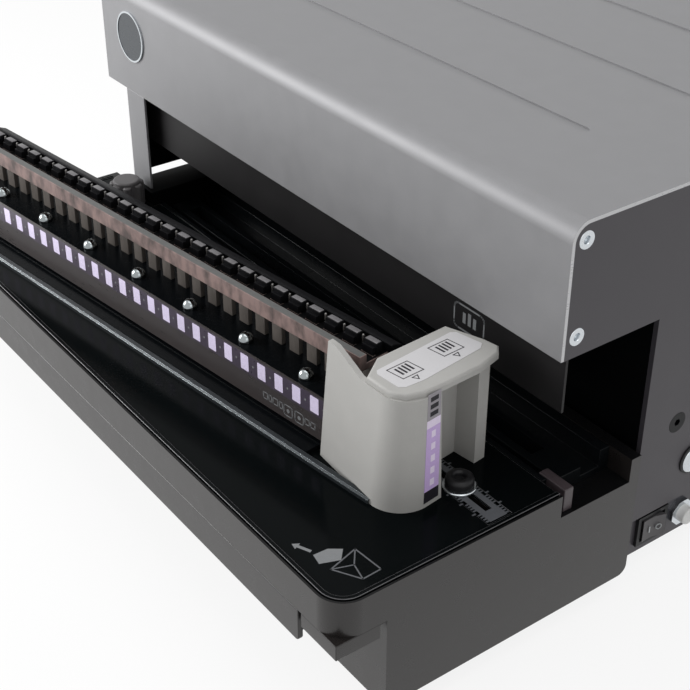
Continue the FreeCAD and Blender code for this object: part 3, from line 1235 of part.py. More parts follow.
def retainer_rail():
    outline = [(RAIL_FRONT_W, RETAINER_FLOOR_H), (RETAINER_REAR_W, RETAINER_FLOOR_H),
               (RETAINER_REAR_W, RAIL_REAR_H), (RAIL_EDGE_W, RETAINER_TOP_H), (RAIL_FRONT_W, RETAINER_TOP_H)]
    return lay_on_table(prism_x(outline, (DIE_LEFT_U + 4.0, RAIL_RIGHT_U)))


def handle_corner_wire(left, right_u, angle, radius, h, grow):
    """Plan of the front and right walls at one height: front line, round corner and right line."""
    lean = math.radians(angle)
    across = V(-math.sin(lean), math.cos(lean), 0)
    along = V(math.cos(lean), math.sin(lean), 0)
    radius = radius + grow
    start = V(left[0] - grow, left[1], h).sub(across.multiply(grow) if grow else V(0, 0, 0))
    across = V(-math.sin(lean), math.cos(lean), 0)
    centre_u = right_u + grow - radius
    reach = (centre_u - start.x - across.x * radius) / along.x
    tangent = start.add(V(along.x * reach, along.y * reach, 0))
    centre = tangent.add(V(across.x * radius, across.y * radius, 0))
    middle_angle = (math.atan2(-across.y, -across.x) + 0.0) / 2
    middle = centre.add(V(radius * math.cos(middle_angle), radius * math.sin(middle_angle), 0))
    end = centre.add(V(radius, 0, 0))
    rear = V(end.x, GRIP_FRONT_W, h)
    inner = V(GRIP_LEFT_U, GRIP_FRONT_W, h)
    back = V(GRIP_LEFT_U, start.y + 14.0, h)
    hook = V(start.x, start.y + 14.0, h)
    edges = [Part.LineSegment(start, tangent).toShape(), Part.Arc(tangent, middle, end).toShape(),
             Part.LineSegment(end, rear).toShape(), Part.LineSegment(rear, inner).toShape(),
             Part.LineSegment(inner, back).toShape(), Part.LineSegment(back, hook).toShape(),
             Part.LineSegment(hook, start).toShape()]
    return Part.Wire(edges)


def handle_walls(grow):
    """Outer form of the front and right walls, drawn in towards the top, or grown for a clearance."""
    foot = handle_corner_wire(HANDLE_FOOT_LEFT, HANDLE_FOOT_RIGHT_U, HANDLE_FOOT_ANGLE,
                              HANDLE_FOOT_CORNER_R, 0.0, grow)
    top = handle_corner_wire(HANDLE_TOP_LEFT, HANDLE_TOP_RIGHT_U, HANDLE_TOP_ANGLE, HANDLE_TOP_CORNER_R,
                             HANDLE_EAR_H, grow)
    return Part.makeLoft([foot, top], True, True)


def handle_room():
    """Hollow behind the front wall, which keeps one wall thickness at every height."""
    quads = []
    for (left_u, left_w), angle, h in ((HANDLE_FOOT_LEFT, HANDLE_FOOT_ANGLE, -0.01),
                                       (HANDLE_TOP_LEFT, HANDLE_TOP_ANGLE, HANDLE_EAR_H + 0.01)):
        lean = math.radians(angle)
        right_u = GRIP_LEFT_U - HANDLE_WALL
        open_u = 1.5 * HANDLE_FOOT_LEFT[0]
        rear_w = 1.5 * FIN_REAR_W
        front = [left_w + (u - left_u) * math.tan(lean) + HANDLE_WALL / math.cos(lean) for u in (open_u, right_u)]
        corners = [V(open_u, front[0], h), V(right_u, front[1], h), V(right_u, rear_w, h), V(open_u, rear_w, h)]
        quads.append(Part.makePolygon(corners + corners[:1]))
    return Part.makeLoft(quads, True, True)


def handle_ear_cut():
    """Region above the sloping top edge of the front wall, from the ear down to the top plate."""
    high = HANDLE_EAR_H + HANDLE_WALL
    points = [(HANDLE_EAR_U, high), (HANDLE_EAR_U, HANDLE_EAR_H), (HANDLE_SLOPE_U, HANDLE_H),
              (10.0, HANDLE_H), (10.0, high)]
    front, depth = STRIP_REAR_W - FIN_REAR_W, 3 * FIN_REAR_W
    wire = Part.makePolygon([V(u, front, h) for u, h in points + points[:1]])
    return Part.Face(wire).extrude(V(0, depth, 0))


def handle_top_plate():
    outline = [(-33.2, -18.7), (-42.0, -2.9), (-39.2, 44.3), (-16.7, 49.5), (-7.1, 50.0), (-2.8, 45.0),
               (-0.6, 29.0), (-2.3, 5.5), (-4.2, -7.5), (-8.6, -16.6), (-16.6, -20.4)]
    plate = prism_z(outline, HANDLE_PLATE_H)
    top = [edge for edge in plate.Edges if edge.CenterOfMass.z > HANDLE_PLATE_H[1] - 0.01]
    return plate.makeFillet(1.5, top)


def die_handle():
    """Moulded grip: drafted front and right walls, grip recess, rear fin and top plate."""
    walls = handle_walls(0.0)
    walls = walls.cut(handle_room()).cut(handle_ear_cut())
    inner_wall = box((BLOCK_RIGHT_U, GRIP_LEFT_U), (GRIP_FRONT_W - 1.0, FIN_FRONT_W + 1.0), (0, HANDLE_H))
    fin = box((GRIP_LEFT_U - 16.0, FIN_RIGHT_U), (FIN_FRONT_W, FIN_REAR_W), (0, HANDLE_H))
    handle = fuse(walls, inner_wall, fin, handle_top_plate())
    die_room = box((DIE_LEFT_U, BLOCK_RIGHT_U), (DIE_FRONT_W - SLIP, DIE_REAR_W + SLIP),
                   (-1.0, DIE_BASE_H + PAPER_SLOT_H + BLOCK_H + SLIP))
    return lay_on_table(handle.cut(die_room))


NODES = (base_shell, bridge_block, table_top, scale_strip, drawer_housing, drawer_shelf, base_floor, rubber_feet,
         chip_drawer, drawer_front, head_cover, side_panel_right, side_panel_left, cover_screws, frame_screws,
         frame_spacers, side_cap, badge_disc, badge_ring, chassis_pan, rear_panel, power_inlet, left_pillar,
         left_cheek, throat_guard, throat_rear_wall, gear_floor, press_frame_left, press_frame_right,
         rear_beam, shaft_bushes, ram_bar, ram_end_plates, ram_gibs, ram_yokes, drive_shaft, eccentrics,
         drive_gear, motor_pinion, motor, control_board, board_standoffs, switch_bezel, power_rocker,
         breaker_collar, breaker_button, die_channel, channel_stop, edge_slide, edge_knob_ring, edge_knob,
         margin_knob, die_base, die_strip, die_block, die_screws, punch_pins, pin_retainer, retainer_rail,
         die_handle)

for make_node in NODES:
    save(make_node(), make_node.__name__)
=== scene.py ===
"""Finishes, prints and small trim for an electric comb punch with its die set on the table.

Sizes in the classes are millimetres, angles degrees. Every finished piece is a plain mesh in metres, in the
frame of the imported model, and rides on the body that carries it. The die set lies turned on the table and is
drawn in its own directions: u along it to the right, w to the rear and h up.
"""

import logging
import math
from dataclasses import dataclass, field
from enum import Enum
from typing import Iterable, Optional, Sequence

import bmesh
import bpy
from mathutils import Matrix, Vector


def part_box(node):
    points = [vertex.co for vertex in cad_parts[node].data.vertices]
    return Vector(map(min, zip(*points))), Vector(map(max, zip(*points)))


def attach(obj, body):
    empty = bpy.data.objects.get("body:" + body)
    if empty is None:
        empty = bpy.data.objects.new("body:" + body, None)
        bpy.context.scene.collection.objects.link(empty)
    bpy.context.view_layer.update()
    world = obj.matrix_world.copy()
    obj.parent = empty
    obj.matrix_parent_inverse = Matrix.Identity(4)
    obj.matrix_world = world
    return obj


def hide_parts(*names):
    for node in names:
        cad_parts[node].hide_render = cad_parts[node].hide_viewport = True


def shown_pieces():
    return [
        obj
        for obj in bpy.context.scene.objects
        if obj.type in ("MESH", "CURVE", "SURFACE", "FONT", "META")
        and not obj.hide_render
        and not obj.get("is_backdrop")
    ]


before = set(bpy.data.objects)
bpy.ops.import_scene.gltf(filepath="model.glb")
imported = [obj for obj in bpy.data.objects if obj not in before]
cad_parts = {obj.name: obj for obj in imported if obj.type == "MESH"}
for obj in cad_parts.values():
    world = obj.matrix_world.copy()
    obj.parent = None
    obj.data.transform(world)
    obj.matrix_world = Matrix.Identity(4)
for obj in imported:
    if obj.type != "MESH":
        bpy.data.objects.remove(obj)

LOG = logging.getLogger("comb_punch")
MM = 0.001
WHITE = (1.0, 1.0, 1.0, 1.0)

# Limits of the mesh tools: angles between faces in degrees, distances in millimetres
FLAT_ANGLE = 0.3
ROUND_ANGLE = 30.0
SMOOTH_ANGLE = 35.0
BEVEL_ANGLE = 40.0
MERGE_GAP = 0.002
LEVEL_GAP = 0.02
SQUARE_ENOUGH = 0.9
AXIS_RADIUS = 1e-6

Tree = bpy.types.NodeTree
Node = bpy.types.Node
Piece = bpy.types.Object
Point2 = tuple[float, float]
Point3 = tuple[float, float, float]
Span = tuple[float, float]
Outline = tuple[Point2, ...]


class Facing(Enum):
    """Side that a flat drawing looks to, given by the directions of its x, y and depth."""

    FRONT = ((1, 0, 0), (0, 0, 1), (0, -1, 0))
    RIGHT = ((0, 1, 0), (0, 0, 1), (1, 0, 0))
    LEFT = ((0, -1, 0), (0, 0, 1), (-1, 0, 0))

    def matrix(self) -> Matrix:
        """Give the turn that lays a drawing onto that side."""
        return Matrix(self.value).transposed().to_4x4()


class Body(Enum):
    """Bodies of the machine that carry dressed pieces."""

    MACHINE = "machine"
    CHIP_TRAY = "chip_tray"
    DIE_SET = "die_set"
    PIN_CARRIAGE = "pin_carriage"
    EDGE_GUIDE = "edge_guide"
    EDGE_GRIP = "edge_grip"
    MARGIN_CONTROL = "margin_control"
    ROCKER = "rocker"


# Nodes


def added(tree: Tree, kind: str, values: Optional[dict[str, object]] = None) -> Node:
    """Add a node to a tree.

    Args:
        tree: Tree that it goes into.
        kind: Its type.
        values: Values of its inputs, by name.

    Returns:
        The node.
    """
    node = tree.nodes.new(kind)
    for name, value in (values or {}).items():
        node.inputs[name].default_value = value
    return node


def wired(tree: Tree, *wires: tuple[Node, str, Node, str | int]) -> None:
    """Link outputs to inputs.

    Args:
        tree: Tree that the nodes are in.
        wires: Node, output, node and input of each link.
    """
    for source, outlet, target, inlet in wires:
        tree.links.new(source.outputs[outlet], target.inputs[inlet])


# Finishes


@dataclass(frozen=True)
class Finish:
    """Surface of one kind of piece: its colour, its shine and its fine grain.

    Attributes:
        name: Plain name of the finish.
        colour: Linear red, green and blue.
        roughness: Roughness about which the grain varies.
        metallic: One for bare metal, zero for paint and plastic.
        grain: Size of the grain in millimetres.
        stretch: How much longer the grain is along X, Y and Z.
        tone: Share by which the grain darkens and lightens the colour.
        rough_spread: Half of the change of roughness.
        relief: Height of the grain in millimetres.
        specular: Strength of the plain reflection, where a half is that of common plastic.
        patches: Linear colour of lighter patches in place of the lightened colour.
        blur: Half of the span of the noise over which the two colours meet.
    """

    name: str
    colour: Point3
    roughness: float = 0.4
    metallic: float = 0.0
    grain: float = 1.2
    stretch: Point3 = (1.0, 1.0, 1.0)
    tone: float = 0.06
    rough_spread: float = 0.05
    relief: float = 0.01
    specular: float = 0.5
    patches: Optional[Point3] = None
    blur: float = 0.15

    def material(self) -> bpy.types.Material:
        """Give the material of this finish, and build it on first use.

        Returns:
            The material, shared by all pieces of the finish.
        """
        known = bpy.data.materials.get(self.name)
        if known:
            return known
        made = bpy.data.materials.new(self.name)
        made.use_nodes = True
        made.diffuse_color = (*self.colour, 1.0)
        shader = made.node_tree.nodes["Principled BSDF"]
        shader.inputs["Metallic"].default_value = self.metallic
        shader.inputs["Specular IOR Level"].default_value = self.specular
        self.add_grain(made.node_tree, shader)
        return made

    def add_grain(self, tree: Tree, shader: Node) -> None:
        """Let a fine noise with a share of a broad one vary colour, roughness and height.

        Args:
            tree: Node tree of the material.
            shader: Its principled shader.
        """
        broad_scale, broad_share, bump_strength, (low, high) = 0.04, 0.4, 0.5, (0.3, 0.7)
        scale = 1.0 / (self.grain * MM)
        place = added(tree, "ShaderNodeTexCoord")
        mapping = added(tree, "ShaderNodeMapping", {"Scale": [1.0 / s for s in self.stretch]})
        fine = added(tree, "ShaderNodeTexNoise", {"Scale": scale, "Detail": 3.0})
        broad = added(tree, "ShaderNodeTexNoise", {"Scale": broad_scale * scale, "Detail": 2.0})
        blend = added(tree, "ShaderNodeMix", {"Factor": broad_share})
        spread = added(tree, "ShaderNodeMapRange", {
            "From Min": low, "From Max": high, "To Min": max(0.02, self.roughness - self.rough_spread),
            "To Max": min(1.0, self.roughness + self.rough_spread)})
        bump = added(tree, "ShaderNodeBump", {"Strength": bump_strength, "Distance": self.relief * MM})
        ramp = added(tree, "ShaderNodeValToRGB")
        dark = [c * (1.0 - self.tone) for c in self.colour]
        pale = self.patches or [min(1.0, c * (1.0 + self.tone)) for c in self.colour]
        first, last = ramp.color_ramp.elements
        first.position, first.color = 0.5 - self.blur, (*dark, 1.0)
        last.position, last.color = 0.5 + self.blur, (*pale, 1.0)
        wired(tree, (place, "Object", mapping, "Vector"), (mapping, "Vector", fine, "Vector"),
              (mapping, "Vector", broad, "Vector"), (fine, "Fac", blend, "A"), (broad, "Fac", blend, "B"),
              (blend, "Result", ramp, "Fac"), (ramp, "Color", shader, "Base Color"),
              (blend, "Result", spread, "Value"), (spread, "Result", shader, "Roughness"),
              (fine, "Fac", bump, "Height"), (bump, "Normal", shader, "Normal"))


def rgb(red: int, green: int, blue: int) -> Point3:
    """Turn a display colour into linear light.

    Args:
        red: Red from 0 to 255.
        green: Green from 0 to 255.
        blue: Blue from 0 to 255.

    Returns:
        The three linear values.
    """
    parts = [value / 255.0 for value in (red, green, blue)]
    return tuple(p / 12.92 if p <= 0.04045 else ((p + 0.055) / 1.055) ** 2.4 for p in parts)


COVER_SILVER = Finish("cover_silver_paint", rgb(134, 134, 136), 0.55, 0.35, grain=0.5, tone=0.05,
                      relief=0.006)
CUT_EDGE = Finish("cover_cut_edge", rgb(190, 190, 192), 0.3, 0.6, grain=0.4, stretch=(1, 8, 1))
PANEL_GREY = Finish("side_panel_paint", rgb(58, 55, 60), 0.45, grain=0.5, tone=0.05, relief=0.008)
BASE_GREY = Finish("base_housing_plastic", rgb(32, 29, 28), 0.3, grain=0.4, relief=0.012)
# Lighter colour on the softened edges of the table plate: a painted highlight where the edges catch light
TABLE_EDGE_HIGHLIGHT = Finish("table_edge_sheen", rgb(84, 84, 86), 0.3, grain=0.5, tone=0.05)
TABLE_BLACK = Finish("table_gloss_black", rgb(9, 12, 13), 0.12, grain=2.0, tone=0.1, rough_spread=0.02,
                     relief=0.001, specular=0.03)
RIM_BLACK = Finish("base_rim_black", rgb(14, 14, 15), 0.3, grain=0.5, specular=0.15)
FINE_BLACK = Finish("fine_black_plastic", rgb(22, 22, 24), 0.45, grain=0.3, tone=0.1, relief=0.015,
                    specular=0.3)
ROCKER_GREY = Finish("rocker_grey", rgb(72, 70, 72), 0.4, grain=0.3, relief=0.015)
METAL_BLACK = Finish("satin_black_metal", rgb(11, 13, 15), 0.3, grain=0.8, tone=0.12, relief=0.006,
                     specular=0.14)
DEEP_BLACK = Finish("deep_black_cast", rgb(9, 10, 11), 0.4, grain=0.8, relief=0.006, specular=0.03)
GUARD_BLACK = Finish("guard_black_paint", rgb(26, 25, 26), 0.45, 0.1, grain=0.8, tone=0.1, relief=0.006,
                     specular=0.25)
# Mid grey of the margin knob: its dark plastic lightened by a painted reflection
KNOB_GREY_AND_REFLECTION = Finish("star_grip_grey", rgb(92, 90, 91), 0.4, grain=0.4, tone=0.08, relief=0.02, specular=0.2)
BLOCK_BLACK = Finish("die_block_black", rgb(12, 14, 16), 0.25, grain=0.7, stretch=(6, 6, 1), tone=0.1,
                     specular=0.03)
# Lighter brown-grey for the front face of the black die block: a painted sheen
BLOCK_FACE_SHEEN = Finish("die_block_face", rgb(54, 49, 49), 0.3, stretch=(6, 6, 1), tone=0.12, specular=0.8)
# Near black for the floor faces of the pin retainer, down among the pin heads: painted shade
RETAINER_FLOOR_SHADE = Finish("retainer_floor_black", rgb(12, 12, 13), 0.5, grain=0.7, specular=0.04)
RETAINER_BROWN = Finish("retainer_front_brown", rgb(88, 78, 76), 0.4, grain=6.0, stretch=(1, 1, 2), tone=0.1,
                        rough_spread=0.08, specular=0.12, patches=rgb(136, 116, 112), blur=0.09)
RETAINER_EDGE = Finish("retainer_edge_grey", rgb(96, 97, 96), 0.35, 0.3, grain=0.8, stretch=(6, 2, 1),
                       specular=0.2)
RAIL_BLACK = Finish("retainer_rail_black", rgb(18, 18, 20), 0.35, grain=0.8, stretch=(6, 2, 1), specular=0.04)
PIN_STEEL = Finish("pin_dark_steel", rgb(90, 85, 81), 0.4, grain=0.4, stretch=(1, 1, 10), tone=0.2,
                   specular=0.15)
# Pin heads: their dark sides are painted shade and their lighter top faces a painted highlight, on one steel
# part
HEAD_SHADE = Finish("pin_head_dark", rgb(18, 18, 20), 0.35, grain=0.5, tone=0.2, specular=0.05)
HEAD_TOP_HIGHLIGHT = Finish("pin_head_steel", rgb(112, 110, 112), 0.32, 0.4, grain=0.5, tone=0.2, specular=0.2)
STRIP_STEEL = Finish("ledge_strip_steel", rgb(44, 48, 51), 0.32, 0.3, grain=0.4, stretch=(30, 6, 1), tone=0.1,
                     specular=0.25)
# Bright drawn steel of the slide, the gears and the standoffs, also used on the die strip's softened edges as
# a painted highlight line
DRAWN_STEEL_AND_HIGHLIGHT = Finish("drawn_steel", rgb(176, 186, 190), 0.22, 0.9, grain=0.4, stretch=(30, 6, 1), tone=0.08)
MACHINED_STEEL = Finish("machined_steel", rgb(120, 118, 116), 0.35, 0.9, grain=0.6, stretch=(1, 1, 8),
                        tone=0.1)
ZINC = Finish("bright_zinc", rgb(205, 210, 214), 0.2, 0.95, grain=0.5, tone=0.05)
DOME_CHROME = Finish("dome_chrome", rgb(150, 156, 158), 0.1, 1.0, grain=0.5, tone=0.04, rough_spread=0.03)
HANDLE_GREY = Finish("handle_warm_grey", rgb(178, 177, 174), 0.45, grain=0.4, tone=0.03, specular=0.25)
TRAY_GREY = Finish("tray_dark_grey", rgb(46, 46, 49), 0.5, grain=0.5)
STOP_BROWN = Finish("stop_dull_brown", rgb(66, 58, 61), 0.4, grain=1.5, tone=0.15)
SCALE_GREY = Finish("scale_strip_grey", rgb(92, 94, 98), 0.4, grain=0.4, stretch=(10, 1, 1), specular=0.15)
PRINT_PALE = Finish("pale_print", rgb(188, 192, 194), 0.5, grain=0.5, tone=0.08)
PRINT_GREY = Finish("grey_print", rgb(120, 122, 124), 0.5, grain=0.5, tone=0.08)
PRINT_DIM = Finish("dim_print", rgb(84, 86, 90), 0.5, grain=0.5, tone=0.08)
LABEL_WHITE = Finish("white_label", rgb(208, 207, 209), 0.4, grain=1.0, tone=0.02, specular=0.3)
LABEL_LILAC = Finish("lilac_label", rgb(206, 180, 230), 0.4, grain=1.0, tone=0.05, specular=0.2)
LABEL_PALE_LILAC = Finish("pale_lilac_label", rgb(238, 226, 248), 0.4, grain=1.0, tone=0.03, specular=0.2)
LABEL_DARK = Finish("dark_label", rgb(38, 36, 42), 0.4, grain=1.0, specular=0.2)
LABEL_MID = Finish("mid_label", rgb(158, 154, 160), 0.4, grain=1.0, specular=0.2)
WINDOW_LILAC = Finish("window_lilac", rgb(222, 212, 238), 0.4, grain=1.0, tone=0.08, specular=0.3)
WINDOW_HAZE = Finish("window_haze", rgb(64, 56, 70), 0.3, grain=2.0, tone=0.2, specular=0.8)
WHITE_CAP = Finish("white_cap", rgb(226, 226, 224), 0.3, grain=0.6, tone=0.02)
RUBBER = Finish("black_rubber", rgb(26, 26, 26), 0.75, grain=0.6, tone=0.15, relief=0.03)
BRONZE = Finish("bearing_bronze", rgb(168, 131, 74), 0.35, 0.9, grain=0.5)
BOARD_GREEN = Finish("board_green", rgb(47, 90, 58), 0.5, grain=1.0)
BADGE_GREY = Finish("badge_grey", rgb(70, 74, 78), 0.3, 0.5, grain=0.5, stretch=(12, 1, 1))


# Meshes


@dataclass
class Shape:
    """Mesh under construction in millimetres, placed by one matrix.

    Attributes:
        place: Matrix from the drawing's millimetres to those of the machine.
        mesh: The faces made so far.
    """

    place: Matrix
    mesh: bmesh.types.BMesh = field(default_factory=bmesh.new)

    def between(self, low: Sequence[Sequence[float]], high: Sequence[Sequence[float]]) -> "Shape":
        """Add the solid between two outlines with as many corners each.

        Args:
            low: Corners of the lower outline, in order.
            high: Corners of the upper outline.

        Returns:
            This shape.
        """
        low, high = ([self.mesh.verts.new(corner) for corner in corners] for corners in (low, high))
        self.mesh.faces.new(low[::-1])
        self.mesh.faces.new(high)
        for i in range(len(low)):
            j = (i + 1) % len(low)
            self.mesh.faces.new((low[i], low[j], high[j], high[i]))
        return self

    def prism(self, outline: Sequence[Point2], depth: Span) -> "Shape":
        """Add a straight solid over an outline, between a low and a high depth."""
        return self.between(*([(x, y, level) for x, y in outline] for level in depth))

    def block(self, x: Span, y: Span, z: Span) -> "Shape":
        """Add a box between low and high values."""
        return self.prism([(x[0], y[0]), (x[1], y[0]), (x[1], y[1]), (x[0], y[1])], z)

    def disc(self, centre: Point2, radius: float, depth: Span) -> "Shape":
        """Add a small round plug."""
        return self.prism(circle(centre, radius, 12), depth)

    def turned(self, profile: Sequence[Point2], sides: int) -> "Shape":
        """Add a solid of revolution about the depth direction.

        Args:
            profile: Radius and depth of each ring, from the low end to the high end.
            sides: Number of facets.

        Returns:
            This shape.
        """
        rings = []
        for radius, depth in profile:
            spots = circle((0.0, 0.0), radius, sides) if radius > AXIS_RADIUS else [(0.0, 0.0)]
            rings.append([self.mesh.verts.new((x, y, depth)) for x, y in spots])
        for lower, upper in zip(rings, rings[1:]):
            for i in range(sides):
                j = (i + 1) % sides
                corners = dict.fromkeys((lower[i % len(lower)], lower[j % len(lower)],
                                         upper[j % len(upper)], upper[i % len(upper)]))
                if len(corners) > 2:
                    self.mesh.faces.new(list(corners))
        for end in (rings[0][::-1], rings[-1]):
            if len(end) > 1:
                self.mesh.faces.new(end)
        return self

    def frame_line(self, path: Sequence[Point2], width: float, depth: Span, closed: bool = True) -> "Shape":
        """Add a line of even width along a path, as a row of short bars.

        Args:
            path: Corners of the line's middle.
            width: Width of the line.
            depth: Low and high end.
            closed: Whether the last corner joins the first.

        Returns:
            This shape.
        """
        ends = [*path[1:], path[0]] if closed else path[1:]
        for (x0, y0), (x1, y1) in zip(path, ends):
            length = math.hypot(x1 - x0, y1 - y0)
            dx, dy = (x1 - x0) / length * width / 2, (y1 - y0) / length * width / 2
            self.prism([(x0 - dx + dy, y0 - dy - dx), (x1 + dx + dy, y1 + dy - dx),
                        (x1 + dx - dy, y1 + dy + dx), (x0 - dx - dy, y0 - dy + dx)], depth)
        return self

    def rounded(self, width: float) -> "Shape":
        """Round the sharp edges of what is drawn so far.

        Args:
            width: Width of the rounding.

        Returns:
            This shape.
        """
        self.mesh.normal_update()
        sharp = [edge for edge in self.mesh.edges if edge.calc_face_angle(0.0) > math.radians(ROUND_ANGLE)]
        bmesh.ops.bevel(self.mesh, geom=sharp, offset=width, segments=2, profile=0.5, affect="EDGES",
                        clamp_overlap=True)
        return self

    def to_object(self, name: str, finish: Finish) -> Piece:
        """Turn the shape into an object at the origin, in metres.

        Args:
            name: Name of the piece.
            finish: Its surface.

        Returns:
            The object, not yet on a body.
        """
        bmesh.ops.recalc_face_normals(self.mesh, faces=self.mesh.faces)
        self.mesh.transform(Matrix.Diagonal((MM, MM, MM, 1.0)) @ self.place)
        data = bpy.data.meshes.new(name)
        self.mesh.to_mesh(data)
        self.mesh.free()
        data.materials.append(finish.material())
        return shaded(link(bpy.data.objects.new(name, data)))


def circle(centre: Point2, radius: float, sides: int) -> list[Point2]:
    """Give the corners of a regular polygon.

    Args:
        centre: Its middle.
        radius: Distance of the corners from the middle.
        sides: Number of corners.

    Returns:
        The corners in order.
    """
    step = 2 * math.pi / sides
    return [(centre[0] + radius * math.cos(i * step), centre[1] + radius * math.sin(i * step))
            for i in range(sides)]


def rounded_outline(x: Span, y: Span, radius: float, steps: int) -> list[Point2]:
    """Give the outline of a rectangle with round corners.

    Args:
        x: Its left and right side.
        y: Its lower and upper side.
        radius: Radius of the corners.
        steps: Straight steps round each corner.

    Returns:
        The points in order.
    """
    left, right, low, high = x[0] + radius, x[1] - radius, y[0] + radius, y[1] - radius
    outline = []
    for cx, cy, start in ((right, low, -90), (right, high, 0), (left, high, 90), (left, low, 180)):
        for i in range(steps + 1):
            angle = math.radians(start + 90.0 * i / steps)
            outline.append((cx + radius * math.cos(angle), cy + radius * math.sin(angle)))
    return outline


def link(obj: Piece) -> Piece:
    """Put an object into the scene."""
    bpy.context.scene.collection.objects.link(obj)
    return obj


def shaded(obj: Piece) -> Piece:
    """Shade a piece smooth, but for its sharp edges.

    Args:
        obj: The piece.

    Returns:
        The same piece.
    """
    obj.data.shade_smooth()
    obj.data.set_sharp_from_angle(angle=math.radians(SMOOTH_ANGLE))
    return obj


def seated(obj: Piece, body: Body, replaces: Iterable[str] = ()) -> Piece:
    """Put a piece on its body and hide the nodes that it stands for.

    Args:
        obj: The finished piece.
        body: Body that it moves with.
        replaces: Nodes that it stands for.

    Returns:
        The piece.
    """
    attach(obj, body.value)
    names = list(replaces)
    if names:
        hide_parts(*names)
    return obj


def made_plain(obj: Piece) -> Piece:
    """Turn the result of an object's modifiers into its own mesh.

    Args:
        obj: The object with its modifiers.

    Returns:
        The same object without them.
    """
    graph = bpy.context.evaluated_depsgraph_get()
    result = bpy.data.meshes.new_from_object(obj.evaluated_get(graph), preserve_all_data_layers=True,
                                             depsgraph=graph)
    old = obj.data
    obj.modifiers.clear()
    obj.data = result
    result.name = obj.name
    bpy.data.meshes.remove(old)
    return obj


# Geometry nodes


@dataclass
class CopyTree:
    """Geometry nodes that set copies of a piece on points and keep them as one mesh.

    Attributes:
        name: Name of the node group.
        sockets: Name and kind of each input, before that for the material.
    """

    name: str
    sockets: tuple[tuple[str, str], ...]

    def group(self) -> Tree:
        """Give the node group, and build it on first use.

        Returns:
            The node group.
        """
        known = bpy.data.node_groups.get(self.name)
        if known:
            return known
        tree = bpy.data.node_groups.new(self.name, "GeometryNodeTree")
        for name, kind in (*self.sockets, ("Material", "Material")):
            tree.interface.new_socket(name, in_out="INPUT", socket_type="NodeSocket" + kind)
        tree.interface.new_socket("Copies", in_out="OUTPUT", socket_type="NodeSocketGeometry")
        inlet, outlet = added(tree, "NodeGroupInput"), added(tree, "NodeGroupOutput")
        copies = added(tree, "GeometryNodeInstanceOnPoints")
        real = added(tree, "GeometryNodeRealizeInstances")
        dress = added(tree, "GeometryNodeSetMaterial")
        self.feed(tree, inlet, copies)
        wired(tree, (copies, "Instances", real, "Geometry"), (real, "Geometry", dress, "Geometry"),
              (inlet, "Material", dress, "Material"), (dress, "Geometry", outlet, "Copies"))
        return tree

    def feed(self, tree: Tree, inlet: Node, copies: Node) -> None:
        """Give the copying node its points and its piece."""
        raise NotImplementedError

    def applied(self, obj: Piece, values: dict[str, object]) -> Piece:
        """Run the nodes on an object and keep the result as its mesh.

        Args:
            obj: Object whose mesh goes into the first input.
            values: Values of the other inputs, by name.

        Returns:
            The same object.
        """
        modifier = obj.modifiers.new("copies", "NODES")
        modifier.node_group = self.group()
        for item in modifier.node_group.interface.items_tree:
            if item.in_out == "INPUT" and item.name in values:
                modifier[item.identifier] = values[item.name]
        return made_plain(obj)


@dataclass
class RowTree(CopyTree):
    """Copies in a straight row."""

    name: str = "repeat_in_a_row"
    sockets: tuple[tuple[str, str], ...] = (("Piece", "Geometry"), ("Count", "Int"), ("Step", "Vector"))

    def feed(self, tree: Tree, inlet: Node, copies: Node) -> None:
        """Set the piece on the points of a line.

        Args:
            tree: The node group.
            inlet: Its input node.
            copies: Its copying node.
        """
        line = added(tree, "GeometryNodeMeshLine")
        line.mode = "OFFSET"
        wired(tree, (inlet, "Count", line, "Count"), (inlet, "Step", line, "Offset"),
              (line, "Mesh", copies, "Points"), (inlet, "Piece", copies, "Instance"))

    def repeat(self, obj: Piece, count: int, step: Vector) -> Piece:
        """Repeat a piece, each a step in metres from the last, and keep the row as its mesh."""
        return self.applied(obj, {"Count": count, "Step": list(step), "Material": obj.data.materials[0]})


@dataclass
class SpotTree(CopyTree):
    """Copies on every vertex of a mesh of places."""

    name: str = "set_on_places"
    sockets: tuple[tuple[str, str], ...] = (("Places", "Geometry"), ("Piece", "Object"), ("Size", "Float"))

    def feed(self, tree: Tree, inlet: Node, copies: Node) -> None:
        """Set the piece on the places.

        Args:
            tree: The node group.
            inlet: Its input node.
            copies: Its copying node.
        """
        source = added(tree, "GeometryNodeObjectInfo")
        wired(tree, (inlet, "Places", copies, "Points"), (inlet, "Piece", source, "Object"),
              (source, "Geometry", copies, "Instance"), (inlet, "Size", copies, "Scale"))

    def scatter(self, piece: Piece, places: Sequence[Vector], name: str) -> Piece:
        """Set a piece on each place and keep them as one mesh.

        Args:
            piece: Piece drawn about the origin, removed afterwards.
            places: Places in metres.
            name: Name of the finished piece.

        Returns:
            The new object.
        """
        data = bpy.data.meshes.new(name)
        data.from_pydata([tuple(p) for p in places], [], [])
        obj = link(bpy.data.objects.new(name, data))
        self.applied(obj, {"Piece": piece, "Size": 1.0, "Material": piece.data.materials[0]})
        bpy.data.objects.remove(piece)
        return shaded(obj)


@dataclass(frozen=True)
class Accent:
    """Flat faces of a node that have another finish.

    Attributes:
        finish: Their surface.
        axis: 0, 1 or 2 for faces square to X, Y or Z.
        level: Their distance from the origin along that axis, in millimetres.
        both_sides: Whether the faces at the opposite distance have it too.
        place: Origin and directions that the axis and level are given in.
    """

    finish: Finish
    axis: int
    level: float
    both_sides: bool = False
    place: Matrix = field(default_factory=lambda: Matrix.Identity(4))

    def covers(self, polygon: bpy.types.MeshPolygon) -> bool:
        """Tell whether a face is one of these.

        Args:
            polygon: The face.

        Returns:
            True where it lies at the level and faces along the axis.
        """
        back = self.place.inverted()
        level = (back @ (polygon.center / MM))[self.axis]
        facing = (back.to_3x3() @ polygon.normal)[self.axis]
        if self.both_sides:
            level = abs(level)
        return abs(facing) > SQUARE_ENOUGH and abs(level - self.level) < LEVEL_GAP


